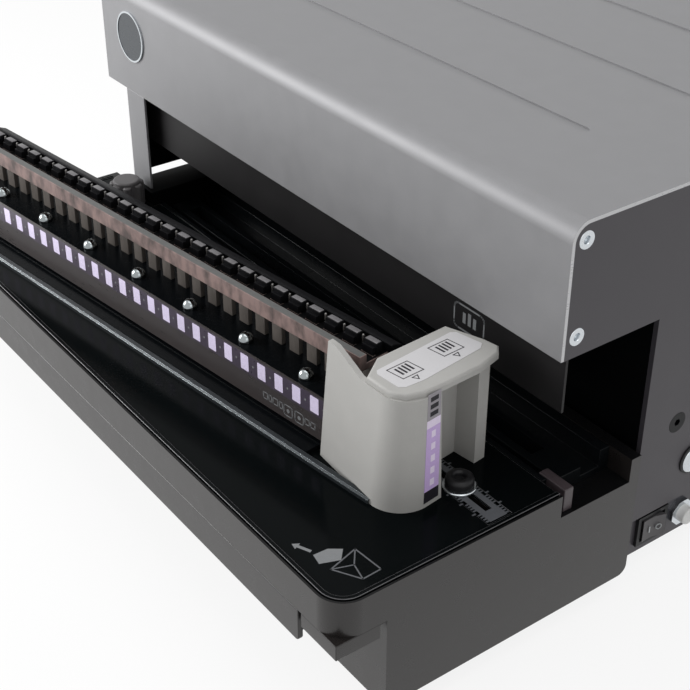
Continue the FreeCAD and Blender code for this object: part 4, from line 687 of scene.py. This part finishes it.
def joined(data: bpy.types.Mesh) -> None:
    """Join a CAD node's loose triangles into flat faces.

    Args:
        data: Copy of the node's mesh.
    """
    loose = bmesh.new()
    loose.from_mesh(data)
    bmesh.ops.remove_doubles(loose, verts=loose.verts, dist=MERGE_GAP * MM)
    bmesh.ops.dissolve_limit(loose, angle_limit=math.radians(FLAT_ANGLE), verts=loose.verts,
                             edges=loose.edges)
    for face in loose.faces:
        face.material_index = 0
    loose.to_mesh(data)
    loose.free()


def softened(node: str, body: Body, finish: Finish, width: float = 0.5,
             accents: Sequence[Accent] = (), edges: Optional[Finish] = None) -> Piece:
    """Copy a node with its sharp edges softened, and let the copy stand for it.

    Args:
        node: Name of the node.
        body: Body that it moves with.
        finish: Its surface.
        width: Width of the softened edges in millimetres.
        accents: Faces with another finish.
        edges: Finish of the softened edges, where it differs.

    Returns:
        The dressed copy.
    """
    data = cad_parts[node].data.copy()
    data.materials.clear()
    for surface in (finish, edges):
        if surface:
            data.materials.append(surface.material())
    joined(data)
    obj = link(bpy.data.objects.new(node + "_dressed", data))
    data.shade_smooth()
    bevel = obj.modifiers.new("soft_edges", "BEVEL")
    bevel.width, bevel.segments = width * MM, 2
    bevel.limit_method, bevel.angle_limit = "ANGLE", math.radians(BEVEL_ANGLE)
    bevel.use_clamp_overlap = bevel.harden_normals = True
    bevel.material = 1 if edges else -1
    obj.modifiers.new("even_faces", "WEIGHTED_NORMAL").keep_sharp = True
    made_plain(obj)
    for index, accent in enumerate(accents, start=len(obj.data.materials)):
        obj.data.materials.append(accent.finish.material())
        for polygon in obj.data.polygons:
            if accent.covers(polygon):
                polygon.material_index = index
    return seated(obj, body, [node])


def painted(finish: Finish, *nodes: str) -> None:
    """Give nodes of the frame a finish as they are.

    Args:
        finish: Their surface.
        nodes: Names of the nodes.
    """
    for node in nodes:
        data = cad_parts[node].data
        for i in range(len(data.materials)):
            data.materials[i] = finish.material()


# Head


@dataclass
class Head:
    """Bent cover, side panels, badge and the screws that hold them."""

    cover_half_width: float = 230.0
    panel_face: float = 229.7
    screw_spots: Outline = ((-69.2, 237.2), (-69.2, 184.0), (205.0, 237.2), (205.0, 184.0))
    screw_profile: Outline = ((2.5, -2.4), (4.9, -0.15), (4.75, 0.0), (2.3, 0.0), (2.1, -0.3), (1.9, -1.8),
                              (0.0, -2.0))
    cap_spot: Point2 = (35.5, 63.8)
    dome_profile: Outline = ((8.4, 0.0), (8.4, 1.6), (7.8, 2.2), (6.0, 2.6), (0.0, 2.8))
    ring_profile: Outline = ((9.8, 0.0), (9.8, 0.8), (9.3, 1.2), (8.5, 1.2))

    def build(self) -> None:
        """Dress the sheet metal, the badge, the screws and the cap."""
        cut = Accent(CUT_EDGE, 0, self.cover_half_width, both_sides=True)
        softened("head_cover", Body.MACHINE, COVER_SILVER, accents=[cut])
        for side in ("right", "left"):
            softened("side_panel_" + side, Body.MACHINE, PANEL_GREY)
        softened("left_pillar", Body.MACHINE, COVER_SILVER, 0.4)
        painted(PANEL_GREY, "chassis_pan", "rear_panel")
        painted(BADGE_GREY, "badge_disc")
        painted(ZINC, "badge_ring")
        self.screws()
        self.cap()

    def screws(self) -> None:
        """Make the flat-headed cover screws with their recesses, four on each side."""
        for facing, side in ((Facing.RIGHT, 1), (Facing.LEFT, -1)):
            screw = Shape(facing.matrix()).turned(self.screw_profile, sides=32)
            places = [Vector((side * self.panel_face, y, z)) * MM for y, z in self.screw_spots]
            screws = SpotTree().scatter(screw.to_object("cover_screw_pattern", ZINC), places,
                                        "cover_screws_" + facing.name.lower())
            seated(screws, Body.MACHINE, ["cover_screws"])

    def cap(self) -> None:
        """Make the domed cap on the right panel with a dark ring about it."""
        place = Matrix.Translation((self.panel_face, *self.cap_spot)) @ Facing.RIGHT.matrix()
        dome = Shape(place).turned(self.dome_profile, sides=40)
        seated(dome.to_object("side_cap_dome", ZINC), Body.MACHINE, ["side_cap"])
        ring = Shape(place).turned(self.ring_profile, sides=40)
        seated(ring.to_object("side_cap_ring", FINE_BLACK), Body.MACHINE)


# Switches


@dataclass
class Controls:
    """Rocker switch, breaker and mains inlet."""

    rocker_centre: Point2 = (11.5, 25.0)
    pivot_x: float = 226.4
    tilt: float = -8.0
    half_lean: float = -9.8
    mark_offset: float = 4.0
    mark_depth: Span = (3.55, 3.75)
    stroke_half: Point2 = (0.4, 2.2)
    ring_radius: float = 1.7
    ring_line: float = 0.6

    def build(self) -> None:
        """Dress the controls and add the two plain marks of the rocker."""
        softened("power_rocker", Body.ROCKER, ROCKER_GREY, 0.35)
        painted(FINE_BLACK, "switch_bezel", "power_inlet")
        painted(ZINC, "breaker_collar")
        painted(WHITE_CAP, "breaker_button")
        self.marks()

    def marks(self) -> None:
        """Make a stroke on one half of the rocker and a ring on the other."""
        turn = Matrix.Rotation(math.radians(self.tilt), 4, "Z")
        place = Matrix.Translation((self.pivot_x, *self.rocker_centre)) @ turn
        for name, half in (("on", -1), ("off", 1)):
            lean = Matrix.Rotation(math.radians(half * self.half_lean), 4, "Z")
            shape = Shape(place @ lean @ Facing.RIGHT.matrix())
            middle, (wide, high) = half * self.mark_offset, self.stroke_half
            if name == "on":
                shape.block((middle - wide, middle + wide), (-high, high), self.mark_depth)
            else:
                shape.frame_line(circle((middle, 0.0), self.ring_radius, 16), self.ring_line, self.mark_depth)
            seated(shape.to_object("rocker_mark_" + name, PRINT_PALE), Body.ROCKER)


# Table and base


@dataclass
class Base:
    """Base housing, table plate with its prints, drawer and feet."""

    table_z: float = 93.8
    rim_levels: tuple[float, ...] = (94.9, 94.2, 91.7, 80.0)
    print_depth: Span = (0.0, 0.06)
    scale_x: Span = (150.8, 230.8)
    scale_y: float = -113.4
    scale_half: float = 5.6
    slot_x: Span = (178.0, 223.0)
    slot_half: float = 2.1
    tick_x: Span = (151.2, 152.2)
    tick_pitch: float = 2.0
    tick_count: int = 40
    tick_length: float = 1.9
    long_tick_every: int = 5
    long_tick_length: float = 4.2
    arrow_tail: Point2 = (195.8, -204.2)
    arrow_tip: Point2 = (185.6, -208.7)
    arrow_half: float = 0.9
    arrow_head: Point2 = (3.5, 2.4)
    box_outline: Outline = ((207.0, -185.8), (226.0, -184.4), (226.5, -195.6), (212.0, -204.0))
    box_line: float = 0.8
    box_folds: tuple[Outline, ...] = (((207.0, -185.8), (216.0, -193.0), (212.0, -204.0)),
                                      ((216.0, -193.0), (226.5, -195.6)))
    fold_line: float = 0.7
    sheet_outline: Outline = ((198.5, -204.9), (205.5, -206.3), (209.5, -196.0), (203.5, -190.5),
                              (199.0, -196.5))

    def build(self) -> None:
        """Dress the base and print the table."""
        rims = [Accent(RIM_BLACK, 2, level) for level in self.rim_levels]
        softened("base_shell", Body.MACHINE, BASE_GREY, 0.8, rims, RIM_BLACK)
        # The table plate's softened edges get a lighter colour: painted highlight
        softened("table_top", Body.MACHINE, TABLE_BLACK, 0.3, edges=TABLE_EDGE_HIGHLIGHT)
        softened("drawer_housing", Body.MACHINE, BASE_GREY)
        softened("drawer_front", Body.CHIP_TRAY, BASE_GREY)
        painted(TRAY_GREY, "chip_drawer")
        painted(TABLE_BLACK, "scale_strip")
        painted(FINE_BLACK, "base_floor")
        painted(METAL_BLACK, "drawer_shelf")
        painted(RUBBER, "rubber_feet")
        self.scale()
        self.arrow()
        self.pictogram()

    def scale(self) -> None:
        """Print the grey scale round the slot, with short and long ticks along each edge."""
        place = Matrix.Translation((0, self.scale_y, self.table_z))
        (left, right), (near, far), half = self.scale_x, self.slot_x, self.scale_half
        bands = Shape(place)
        for span in ((left, near), (far, right)):
            bands.block(span, (-half, half), self.print_depth)
        for side in (-1, 1):
            across = tuple(sorted((side * self.slot_half, side * half)))
            bands.block(self.slot_x, across, self.print_depth)
        seated(bands.to_object("scale_bands", SCALE_GREY), Body.MACHINE)
        for name, every, length in (("short", 1, self.tick_length),
                                    ("long", self.long_tick_every, self.long_tick_length)):
            shape = Shape(place)
            for side in (-1, 1):
                across = tuple(sorted((side * half, side * (half + length))))
                shape.block(self.tick_x, across, self.print_depth)
            ticks = RowTree().repeat(shape.to_object("scale_ticks_" + name, SCALE_GREY),
                                     self.tick_count // every, Vector((self.tick_pitch * every * MM, 0, 0)))
            seated(ticks, Body.MACHINE)

    def arrow(self) -> None:
        """Print the plain arrow beside the pictogram."""
        (x0, y0), (x1, y1) = self.arrow_tail, self.arrow_tip
        turn = Matrix.Rotation(math.atan2(y1 - y0, x1 - x0), 4, "Z")
        length, half, (head, wide) = math.hypot(x1 - x0, y1 - y0), self.arrow_half, self.arrow_head
        neck = length - head
        shape = Shape(Matrix.Translation((x0, y0, self.table_z)) @ turn)
        shape.prism([(0, -half), (neck, -half), (neck, -wide), (length, 0), (neck, wide), (neck, half),
                     (0, half)], self.print_depth)
        seated(shape.to_object("table_arrow", PRINT_GREY), Body.MACHINE)

    def pictogram(self) -> None:
        """Print a plain drawing of a stack of sheets in an open box."""
        place = Matrix.Translation((0, 0, self.table_z))
        box = Shape(place).frame_line(self.box_outline, self.box_line, self.print_depth)
        for fold in self.box_folds:
            box.frame_line(fold, self.fold_line, self.print_depth, closed=False)
        seated(box.to_object("table_pictogram_box", PRINT_DIM), Body.MACHINE)
        sheet = Shape(place).prism(self.sheet_outline, self.print_depth)
        seated(sheet.to_object("table_pictogram_sheet", PRINT_GREY), Body.MACHINE)


@dataclass
class GuideKnobs:
    """Edge guide with its chrome ring, and the margin knob."""

    edge_spot: Point2 = (200.0, -113.4)
    edge_radius: float = 7.8
    edge_top: float = 101.4
    edge_chamfer: Point2 = (0.4, 0.5)
    edge_crown: Outline = ((0.0, 2.4), (0.4, 1.1), (1.3, 0.3), (2.4, 0.0), (3.4, 0.1), (4.1, 0.6), (4.5, 1.4),
                           (4.7, 2.6), (7.8, 2.7))

    def build(self) -> None:
        """Dress both knobs."""
        self.edge_grip()
        softened("edge_knob_ring", Body.EDGE_GUIDE, ZINC, 0.15)
        painted(DRAWN_STEEL_AND_HIGHLIGHT, "edge_slide")
        # The margin knob's grey is partly a painted reflection
        softened("margin_knob", Body.MARGIN_CONTROL, KNOB_GREY_AND_REFLECTION, 0.3)

    def edge_grip(self) -> None:
        """Make the low rounded edge knob, with its crown given inwards from the side and down."""
        low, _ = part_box("edge_knob")
        foot, top, radius, (inwards, up) = low[2] / MM, self.edge_top, self.edge_radius, self.edge_chamfer
        profile = [(radius - inwards, foot), (radius, foot + up)]
        profile += [(radius - inset, top - drop) for inset, drop in self.edge_crown]
        knob = Shape(Matrix.Translation((*self.edge_spot, 0))).turned(profile, sides=40)
        seated(knob.to_object("edge_knob_dressed", FINE_BLACK), Body.EDGE_GRIP, ["edge_knob"])


# Throat


@dataclass
class Throat:
    """Black space under the head with the channel, the guard and the press parts."""

    guard_y: float = -69.5
    sign_x: Span = (140.0, 164.0)
    sign_z: Span = (147.0, 162.0)
    sign_radius: float = 3.0
    sign_line: float = 1.0
    sign_depth: Span = (0.0, 0.1)
    bar_width: float = 2.4
    bar_foot: float = 151.5
    bars: Outline = ((147.0, 158.0), (151.2, 159.2), (155.4, 158.0))

    def build(self) -> None:
        """Dress the pieces of the throat and of the drive."""
        softened("die_channel", Body.MACHINE, METAL_BLACK, 0.35)
        softened("channel_stop", Body.MACHINE, STOP_BROWN, 0.6)
        softened("bridge_block", Body.MACHINE, DEEP_BLACK, 0.8)
        painted(GUARD_BLACK, "throat_guard")
        painted(DEEP_BLACK, "left_cheek", "throat_rear_wall")
        painted(METAL_BLACK, "gear_floor", "rear_beam", "frame_screws")
        painted(MACHINED_STEEL, "press_frame_left", "press_frame_right", "ram_bar", "ram_end_plates",
                "ram_yokes", "ram_gibs", "drive_shaft", "eccentrics", "frame_spacers")
        painted(DRAWN_STEEL_AND_HIGHLIGHT, "drive_gear", "motor_pinion", "board_standoffs")
        painted(FINE_BLACK, "motor")
        painted(BRONZE, "shaft_bushes")
        painted(BOARD_GREEN, "control_board")
        self.sign()

    def sign(self) -> None:
        """Print a plain framed sign of three bars on the guard."""
        shape = Shape(Matrix.Translation((0, self.guard_y, 0)) @ Facing.FRONT.matrix())
        outline = rounded_outline(self.sign_x, self.sign_z, self.sign_radius, 3)
        shape.frame_line(outline, self.sign_line, self.sign_depth)
        for left, top in self.bars:
            shape.block((left, left + self.bar_width), (self.bar_foot, top), self.sign_depth)
        seated(shape.to_object("guard_sign", PRINT_GREY), Body.MACHINE)


# Die set


@dataclass
class DieSet:
    """Exchangeable die with its pins, windows, screws and grip, drawn along its own directions."""

    origin: Point3 = (201.5, -129.5, 93.85)
    yaw: float = 7.3
    pin_count: int = 26
    pin_pitch: float = 14.2875
    pin_last_u: float = -56.6
    pin_half: float = 4.0
    pin_depth: Span = (4.8, 7.8)
    pin_height: Span = (12.6, 60.9)
    pin_edge: float = 0.3
    hook_depth: Span = (4.8, 7.1)
    hook_height: Span = (60.8, 65.2)
    head_half: float = 4.7
    head_depth: Span = (6.6, 11.3)
    head_height: Span = (60.8, 67.2)
    head_edge: float = 0.5
    face_inset: float = 0.6
    face_height: Span = (66.9, 67.32)
    face_edge: float = 0.15
    bead_profile: Outline = ((0.8, 0.0), (0.8, 5.8), (0.56, 6.4), (0.0, 6.7))
    retainer_floor: float = 60.8
    retainer_top: float = 66.2
    dome_first: Point3 = (-91.3, -6.7, 34.5)
    dome_pitch: float = 50.0
    dome_count: int = 7
    dome_radius: float = 4.5
    dome_rim: float = 0.9
    dome_chamfer: float = 0.2
    block_front_w: float = -13.8
    window_first: Point2 = (-62.9, 21.5)
    window_size: Point2 = (6.6, 10.2)
    window_corner: float = 0.5
    window_depth: Span = (-0.05, 0.14)
    window_count: int = 25
    dot_radius: float = 0.7
    band_margins: Point3 = (2.5, 1.4, 1.0)
    band_depth: Span = (-0.05, 0.06)
    mark_depth: Span = (-0.05, 0.1)
    mark_line: float = 0.6
    mark_rows: tuple[tuple[Outline, Span, float, int], ...] = (
        (((-119.0, -115.6), (-114.4, -112.2), (-111.0, -107.0), (-105.6, -103.2)), (10.6, 14.6), 0.4, 2),
        (((-102.0, -95.2), (-93.0, -86.2)), (8.2, 15.0), 1.4, 3),
        (((-84.9, -81.5), (-80.3, -76.9)), (10.4, 14.0), 0.4, 2))
    mark_discs: Outline = ((-98.6, 11.6), (-89.6, 11.6))
    mark_disc_radius: float = 1.3

    def place(self) -> Matrix:
        """Give the matrix from the die's directions to the machine's."""
        return Matrix.Translation(self.origin) @ Matrix.Rotation(math.radians(self.yaw), 4, "Z")

    def on_front(self) -> Matrix:
        """Give the place of a print on the front face of the block."""
        return self.place() @ Matrix.Translation((0, self.block_front_w, 0)) @ Facing.FRONT.matrix()

    def row(self, shape: Shape, name: str, finish: Finish, count: int, pitch: float) -> Piece:
        """Repeat a shape along the die, from its right end to its left.

        Args:
            shape: The shape at the right end.
            name: Name of the row.
            finish: Its surface.
            count: Number of copies.
            pitch: Distance from one to the next.

        Returns:
            The row.
        """
        step = self.place().to_3x3() @ Vector((-pitch, 0, 0)) * MM
        return RowTree().repeat(shape.to_object(name, finish), count, step)

    def build(self) -> None:
        """Dress the plates and make the rows that repeat along them."""
        # The block's front face is lighter than the rest of the black block: painted sheen
        front = Accent(BLOCK_FACE_SHEEN, 1, self.block_front_w, place=self.place())
        softened("die_base", Body.DIE_SET, BLOCK_BLACK, 0.3)
        softened("die_block", Body.DIE_SET, BLOCK_BLACK, 0.4, [front])
        # Dark strip with bright softened edges: the edges are a painted highlight line
        softened("die_strip", Body.DIE_SET, STRIP_STEEL, 0.18, edges=DRAWN_STEEL_AND_HIGHLIGHT)
        # Grey top faces of the retainer, and its floor faces near black as painted shade
        faces = [Accent(RETAINER_EDGE, 2, self.origin[2] + self.retainer_top),
                 Accent(RETAINER_FLOOR_SHADE, 2, self.origin[2] + self.retainer_floor)]
        softened("pin_retainer", Body.PIN_CARRIAGE, RETAINER_BROWN, 0.4, faces)
        softened("retainer_rail", Body.PIN_CARRIAGE, RAIL_BLACK)
        self.pins()
        self.beads()
        self.screws()
        self.windows()
        self.block_signs()

    def pins(self) -> None:
        """Make the row of flat pins, their hooked heads and the light faces on these: the heads are painted
        dark as shade and their top faces light as a painted highlight.
        """
        u, inset, count, pitch = self.pin_last_u, self.face_inset, self.pin_count, self.pin_pitch
        across = (u - self.pin_half, u + self.pin_half)
        left, right = u - self.head_half, u + self.head_half
        front, rear = self.head_depth
        pin = Shape(self.place()).block(across, self.pin_depth, self.pin_height).rounded(self.pin_edge)
        pins = self.row(pin, "pin_row", PIN_STEEL, count, pitch)
        seated(pins, Body.PIN_CARRIAGE, ["punch_pins"])
        head = Shape(self.place()).block((left, right), self.head_depth, self.head_height)
        head.rounded(self.head_edge)
        head.block(across, self.hook_depth, self.hook_height)
        # Heads painted dark as shade
        heads = self.row(head, "pin_head_row", HEAD_SHADE, count, pitch)
        seated(heads, Body.PIN_CARRIAGE)
        face = Shape(self.place()).block((left + inset, right - inset), (front + inset, rear - inset),
                                         self.face_height).rounded(self.face_edge)
        # Light top faces on the heads: painted highlight
        faces = self.row(face, "pin_head_face_row", HEAD_TOP_HIGHLIGHT, count, pitch)
        seated(faces, Body.PIN_CARRIAGE)

    def beads(self) -> None:
        """Make the small bright screw points between the pin heads."""
        spot = (self.pin_last_u - self.pin_pitch / 2, sum(self.head_depth) / 2, self.head_height[0])
        bead = Shape(self.place() @ Matrix.Translation(spot)).turned(self.bead_profile, sides=16)
        beads = self.row(bead, "retainer_bead_row", MACHINED_STEEL, self.pin_count - 1, self.pin_pitch)
        seated(beads, Body.PIN_CARRIAGE)

    def screws(self) -> None:
        """Make the domed screws on the block, half balls on a low rim."""
        radius, rim, chamfer = self.dome_radius, self.dome_rim, self.dome_chamfer
        profile = [(radius - chamfer, 0.0), (radius, chamfer)]
        for angle in map(math.radians, range(0, 90, 12)):
            profile.append((radius * math.cos(angle), rim + radius * math.sin(angle)))
        profile.append((0.0, rim + radius))
        screw = Shape(self.place() @ Matrix.Translation(self.dome_first)).turned(profile, sides=28)
        screws = self.row(screw, "dome_screw_row", DOME_CHROME, self.dome_count, self.dome_pitch)
        seated(screws, Body.DIE_SET, ["die_screws"])

    def windows(self) -> None:
        """Make the pale gauge windows of the block, on a hazy band with a dot between each two."""
        (u, low), (width, height) = self.window_first, self.window_size
        side, below, above = self.band_margins
        left, right, high = u - width / 2, u + width / 2, low + height
        band_left = left - (self.window_count - 1) * self.pin_pitch
        band = Shape(self.on_front())
        band.block((band_left - side, right + side), (low - below, high + above), self.band_depth)
        seated(band.to_object("gauge_band", WINDOW_HAZE), Body.DIE_SET)
        window = Shape(self.on_front())
        window.prism(rounded_outline((left, right), (low, high), self.window_corner, 3), self.window_depth)
        dot = Shape(self.on_front())
        dot.disc((u - self.pin_pitch / 2, low + height / 2), self.dot_radius, self.window_depth)
        for shape, name, finish, count in ((window, "gauge_window_row", WINDOW_LILAC, self.window_count),
                                           (dot, "gauge_dot_row", PRINT_GREY, self.window_count - 1)):
            seated(self.row(shape, name, finish, count, self.pin_pitch), Body.DIE_SET)

    def block_signs(self) -> None:
        """Print plain size marks under the right windows."""
        shape = Shape(self.on_front())
        for spans, height, radius, steps in self.mark_rows:
            for span in spans:
                outline = rounded_outline(span, height, radius, steps)
                shape.frame_line(outline, self.mark_line, self.mark_depth)
        for spot in self.mark_discs:
            shape.disc(spot, self.mark_disc_radius, self.mark_depth)
        seated(shape.to_object("block_size_marks", PRINT_GREY), Body.DIE_SET)


@dataclass
class Grip:
    """Moulded grip of the die with its sticker and its side label."""

    die: DieSet
    top_height: float = 68.6
    sticker_outline: Outline = ((-33.4, -11.5), (-31.0, -13.6), (-15.8, -14.2), (-13.2, -11.5), (-11.4, 0.0),
                                (-11.6, 41.0), (-14.2, 45.0), (-30.5, 43.4), (-32.6, 41.0))
    sticker_depth: Span = (0.0, 0.12)
    print_depth: Span = (0.12, 0.18)
    print_line: float = 0.5
    drawing_spots: tuple[float, ...] = (-8.0, 21.5)
    drawn_sheet: Outline = ((-30.0, 0.0), (-19.0, 0.6), (-18.0, 14.0), (-29.0, 13.4))
    drawn_mark: Outline = ((-16.8, 4.6), (-13.8, 6.4), (-16.8, 8.2))
    drawn_bar_u: Span = (-28.0, -21.5)
    drawn_bars_w: Outline = ((3.0, 4.2), (5.4, 6.6), (7.8, 9.0), (10.2, 11.4))
    wall_top: Point2 = (-3.0, 72.6)
    strip_heights: Span = (4.0, 66.0)
    strip_foot: Span = (-9.8, 0.7)
    strip_head: Span = (-6.6, 2.6)
    strip_depth: Span = (-0.18, 0.12)
    mark_lift: float = 0.06
    fields: tuple[tuple[str, Span, Finish], ...] = (
        ("foot", (2.6, 9.4), LABEL_DARK), ("middle", (9.4, 47.0), LABEL_LILAC),
        ("high", (47.0, 51.5), LABEL_PALE_LILAC), ("top", (51.5, 66.4), LABEL_MID))
    marks: tuple[tuple[str, int, float, Span, Span, Finish], ...] = (
        ("spot", 5, 7.2, (0.36, 0.66), (12.0, 15.8), LABEL_PALE_LILAC),
        ("bar", 3, 4.2, (0.2, 0.8), (53.4, 56.0), LABEL_DARK))

    def build(self) -> None:
        """Dress the grip and add its prints."""
        softened("die_handle", Body.DIE_SET, HANDLE_GREY)
        self.top_sticker()
        self.side_label()

    def top_sticker(self) -> None:
        """Lay a pale sticker with two plain drawings on the top plate."""
        place = self.die.place() @ Matrix.Translation((0, 0, self.top_height))
        sticker = Shape(place).prism(self.sticker_outline, self.sticker_depth)
        seated(sticker.to_object("grip_sticker", LABEL_WHITE), Body.DIE_SET)
        prints = Shape(place)
        for spot in self.drawing_spots:
            for path in (self.drawn_sheet, self.drawn_mark):
                prints.frame_line([(u, spot + w) for u, w in path], self.print_line, self.print_depth)
            for near, far in self.drawn_bars_w:
                prints.block(self.drawn_bar_u, (spot + near, spot + far), self.print_depth)
        seated(prints.to_object("grip_sticker_prints", LABEL_DARK), Body.DIE_SET)

    def side_label(self) -> None:
        """Stick the coloured strip on the right wall, as fields one above the other with marks on them."""
        for name, height, finish in self.fields:
            self.strip_field("grip_label_" + name, (0.0, 1.0), height, finish, 0.0)
        for name, count, pitch, share, (low, high), finish in self.marks:
            for i in range(count):
                height = (low + i * pitch, high + i * pitch)
                self.strip_field(f"grip_label_{name}_{i + 1}", share, height, finish, self.mark_lift)

    def strip_point(self, share: float, h: float) -> Vector:
        """Give a point of the strip on the leaning right wall of the grip.

        Args:
            share: Way across the strip, from zero at its front to one at its rear.
            h: Height of the point.

        Returns:
            The point in the die's directions.
        """
        (low, high), (lean, wall_height) = self.strip_heights, self.wall_top
        rise = (h - low) / (high - low)
        front, rear = (foot + (head - foot) * rise for foot, head in zip(self.strip_foot, self.strip_head))
        return Vector((lean * h / wall_height, front + (rear - front) * share, h))

    def strip_field(self, name: str, share: Span, h: Span, finish: Finish, lift: float) -> None:
        """Make one thin field on the leaning wall.

        Args:
            name: Name of the piece.
            share: Its two sides, as parts of the width of the strip.
            h: Its lower and upper end.
            finish: Its colour.
            lift: Height above the strip.
        """
        inner, outer = self.strip_depth
        spots = ((share[0], h[0]), (share[1], h[0]), (share[1], h[1]), (share[0], h[1]))
        low, high = ([self.strip_point(*spot) + Vector((level, 0, 0)) for spot in spots]
                     for level in (inner, outer + lift))
        shape = Shape(self.die.place()).between(low, high)
        seated(shape.to_object(name, finish), Body.DIE_SET)


# Stage


@dataclass(frozen=True)
class Lamp:
    """Soft square lamp.

    Attributes:
        name: Its name.
        place: Its middle in metres.
        target: Point that it faces.
        size: Side of the square in metres.
        power: Power in watts.
    """

    name: str
    place: Point3
    target: Point3
    size: float
    power: float


def aimed(obj: Piece, place: Point3, way: Vector) -> None:
    """Set a lamp or the camera at a place, looking along a way."""
    obj.location = place
    obj.rotation_euler = way.to_track_quat("-Z", "Y").to_euler()


@dataclass
class Stage:
    """Pale floor, soft lamps, world light and camera, with their places in metres."""

    floor_half: float = 6.0
    floor_white: float = 0.9
    floor_roughness: float = 0.9
    floor_glow: float = 0.86
    world_light: float = 0.42
    lamps: tuple[Lamp, ...] = (
        Lamp("lamp_top", (0.1, 0.1, 1.6), (0.0, 0.05, 0.2), 1.4, 9.0),
        Lamp("lamp_left_front", (-0.78, -0.82, 0.52), (-0.22, -0.08, 0.16), 0.6, 11.5),
        Lamp("lamp_right", (1.5, -0.5, 0.9), (0.1, 0.0, 0.1), 0.9, 2.0))
    camera_place: Point3 = (0.61964, -0.49489, 0.54168)
    azimuth: float = 53.71
    elevation: float = 32.6
    lens: float = 72.21
    sensor_width: float = 36.0

    def build(self) -> None:
        """Make the floor, the world, the lamps and the camera."""
        self.floor()
        self.world()
        for lamp in self.lamps:
            self.hang(lamp)
        self.camera()
        bpy.context.scene.view_settings.view_transform = "Standard"

    def floor(self) -> None:
        """Lay the pale floor, lifted towards white where it is seen, with a part of its shadow kept."""
        half, white = self.floor_half, self.floor_white
        data = bpy.data.meshes.new("floor")
        data.from_pydata([(-half, -half, 0), (half, -half, 0), (half, half, 0), (-half, half, 0)], [],
                         [(0, 1, 2, 3)])
        paint = bpy.data.materials.new("floor_white")
        paint.use_nodes = True
        tree = paint.node_tree
        shader = tree.nodes["Principled BSDF"]
        shader.inputs["Base Color"].default_value = (white, white, white, 1.0)
        shader.inputs["Roughness"].default_value = self.floor_roughness
        data.materials.append(paint)
        link(bpy.data.objects.new("floor", data))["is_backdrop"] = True
        glow = added(tree, "ShaderNodeEmission", {"Strength": 1.0})
        share = added(tree, "ShaderNodeMath")
        share.operation = "MULTIPLY"
        share.inputs[1].default_value = self.floor_glow
        mix = added(tree, "ShaderNodeMixShader")
        wired(tree, (self.seen(tree), "Value", share, 0), (share, "Value", mix, "Fac"),
              (shader, "BSDF", mix, 1), (glow, "Emission", mix, 2),
              (mix, "Shader", tree.nodes["Material Output"], "Surface"))

    def seen(self, tree: Tree) -> Node:
        """Tell the rays that are seen from those that light a surface.

        Args:
            tree: Tree that the nodes go into.

        Returns:
            A node that gives one for camera, glossy and transmission rays, and zero for the others.
        """
        path = added(tree, "ShaderNodeLightPath")
        first, both = added(tree, "ShaderNodeMath"), added(tree, "ShaderNodeMath")
        first.operation = both.operation = "MAXIMUM"
        wired(tree, (path, "Is Camera Ray", first, 0), (path, "Is Glossy Ray", first, 1),
              (first, "Value", both, 0), (path, "Is Transmission Ray", both, 1))
        return both

    def world(self) -> None:
        """Light the world evenly, and show it white to the rays that are seen."""
        world = bpy.data.worlds.new("studio")
        bpy.context.scene.world = world
        world.use_nodes = True
        tree = world.node_tree
        plain = tree.nodes["Background"]
        plain.inputs["Color"].default_value = WHITE
        plain.inputs["Strength"].default_value = self.world_light
        white = added(tree, "ShaderNodeBackground", {"Color": WHITE, "Strength": 1.0})
        mix = added(tree, "ShaderNodeMixShader")
        wired(tree, (self.seen(tree), "Value", mix, "Fac"), (plain, "Background", mix, 1),
              (white, "Background", mix, 2), (mix, "Shader", tree.nodes["World Output"], "Surface"))

    def hang(self, lamp: Lamp) -> None:
        """Hang one lamp.

        Args:
            lamp: The lamp's place, size and power.
        """
        data = bpy.data.lights.new(lamp.name, "AREA")
        data.shape, data.size, data.energy = "SQUARE", lamp.size, lamp.power
        way = Vector(lamp.target) - Vector(lamp.place)
        aimed(link(bpy.data.objects.new(lamp.name, data)), lamp.place, way)

    def camera(self) -> None:
        """Set the camera at the photograph's place."""
        data = bpy.data.cameras.new("camera")
        data.lens, data.sensor_width = self.lens, self.sensor_width
        obj = link(bpy.data.objects.new("camera", data))
        azimuth, elevation = math.radians(self.azimuth), math.radians(self.elevation)
        way = Vector((-math.sin(azimuth) * math.cos(elevation), math.cos(azimuth) * math.cos(elevation),
                      -math.sin(elevation)))
        aimed(obj, self.camera_place, way)
        bpy.context.scene.camera = obj


def main() -> None:
    """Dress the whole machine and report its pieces."""
    logging.basicConfig(level=logging.INFO, format="%(message)s")
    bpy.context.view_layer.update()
    die = DieSet()
    for part in (Head(), Controls(), Base(), GuideKnobs(), Throat(), die, Grip(die), Stage()):
        part.build()
        LOG.info("%s built", type(part).__name__)
    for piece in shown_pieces():
        LOG.info("%s, finished in %s", piece.name, piece.data.materials[0].name)


if __name__ == "__main__":
    main()
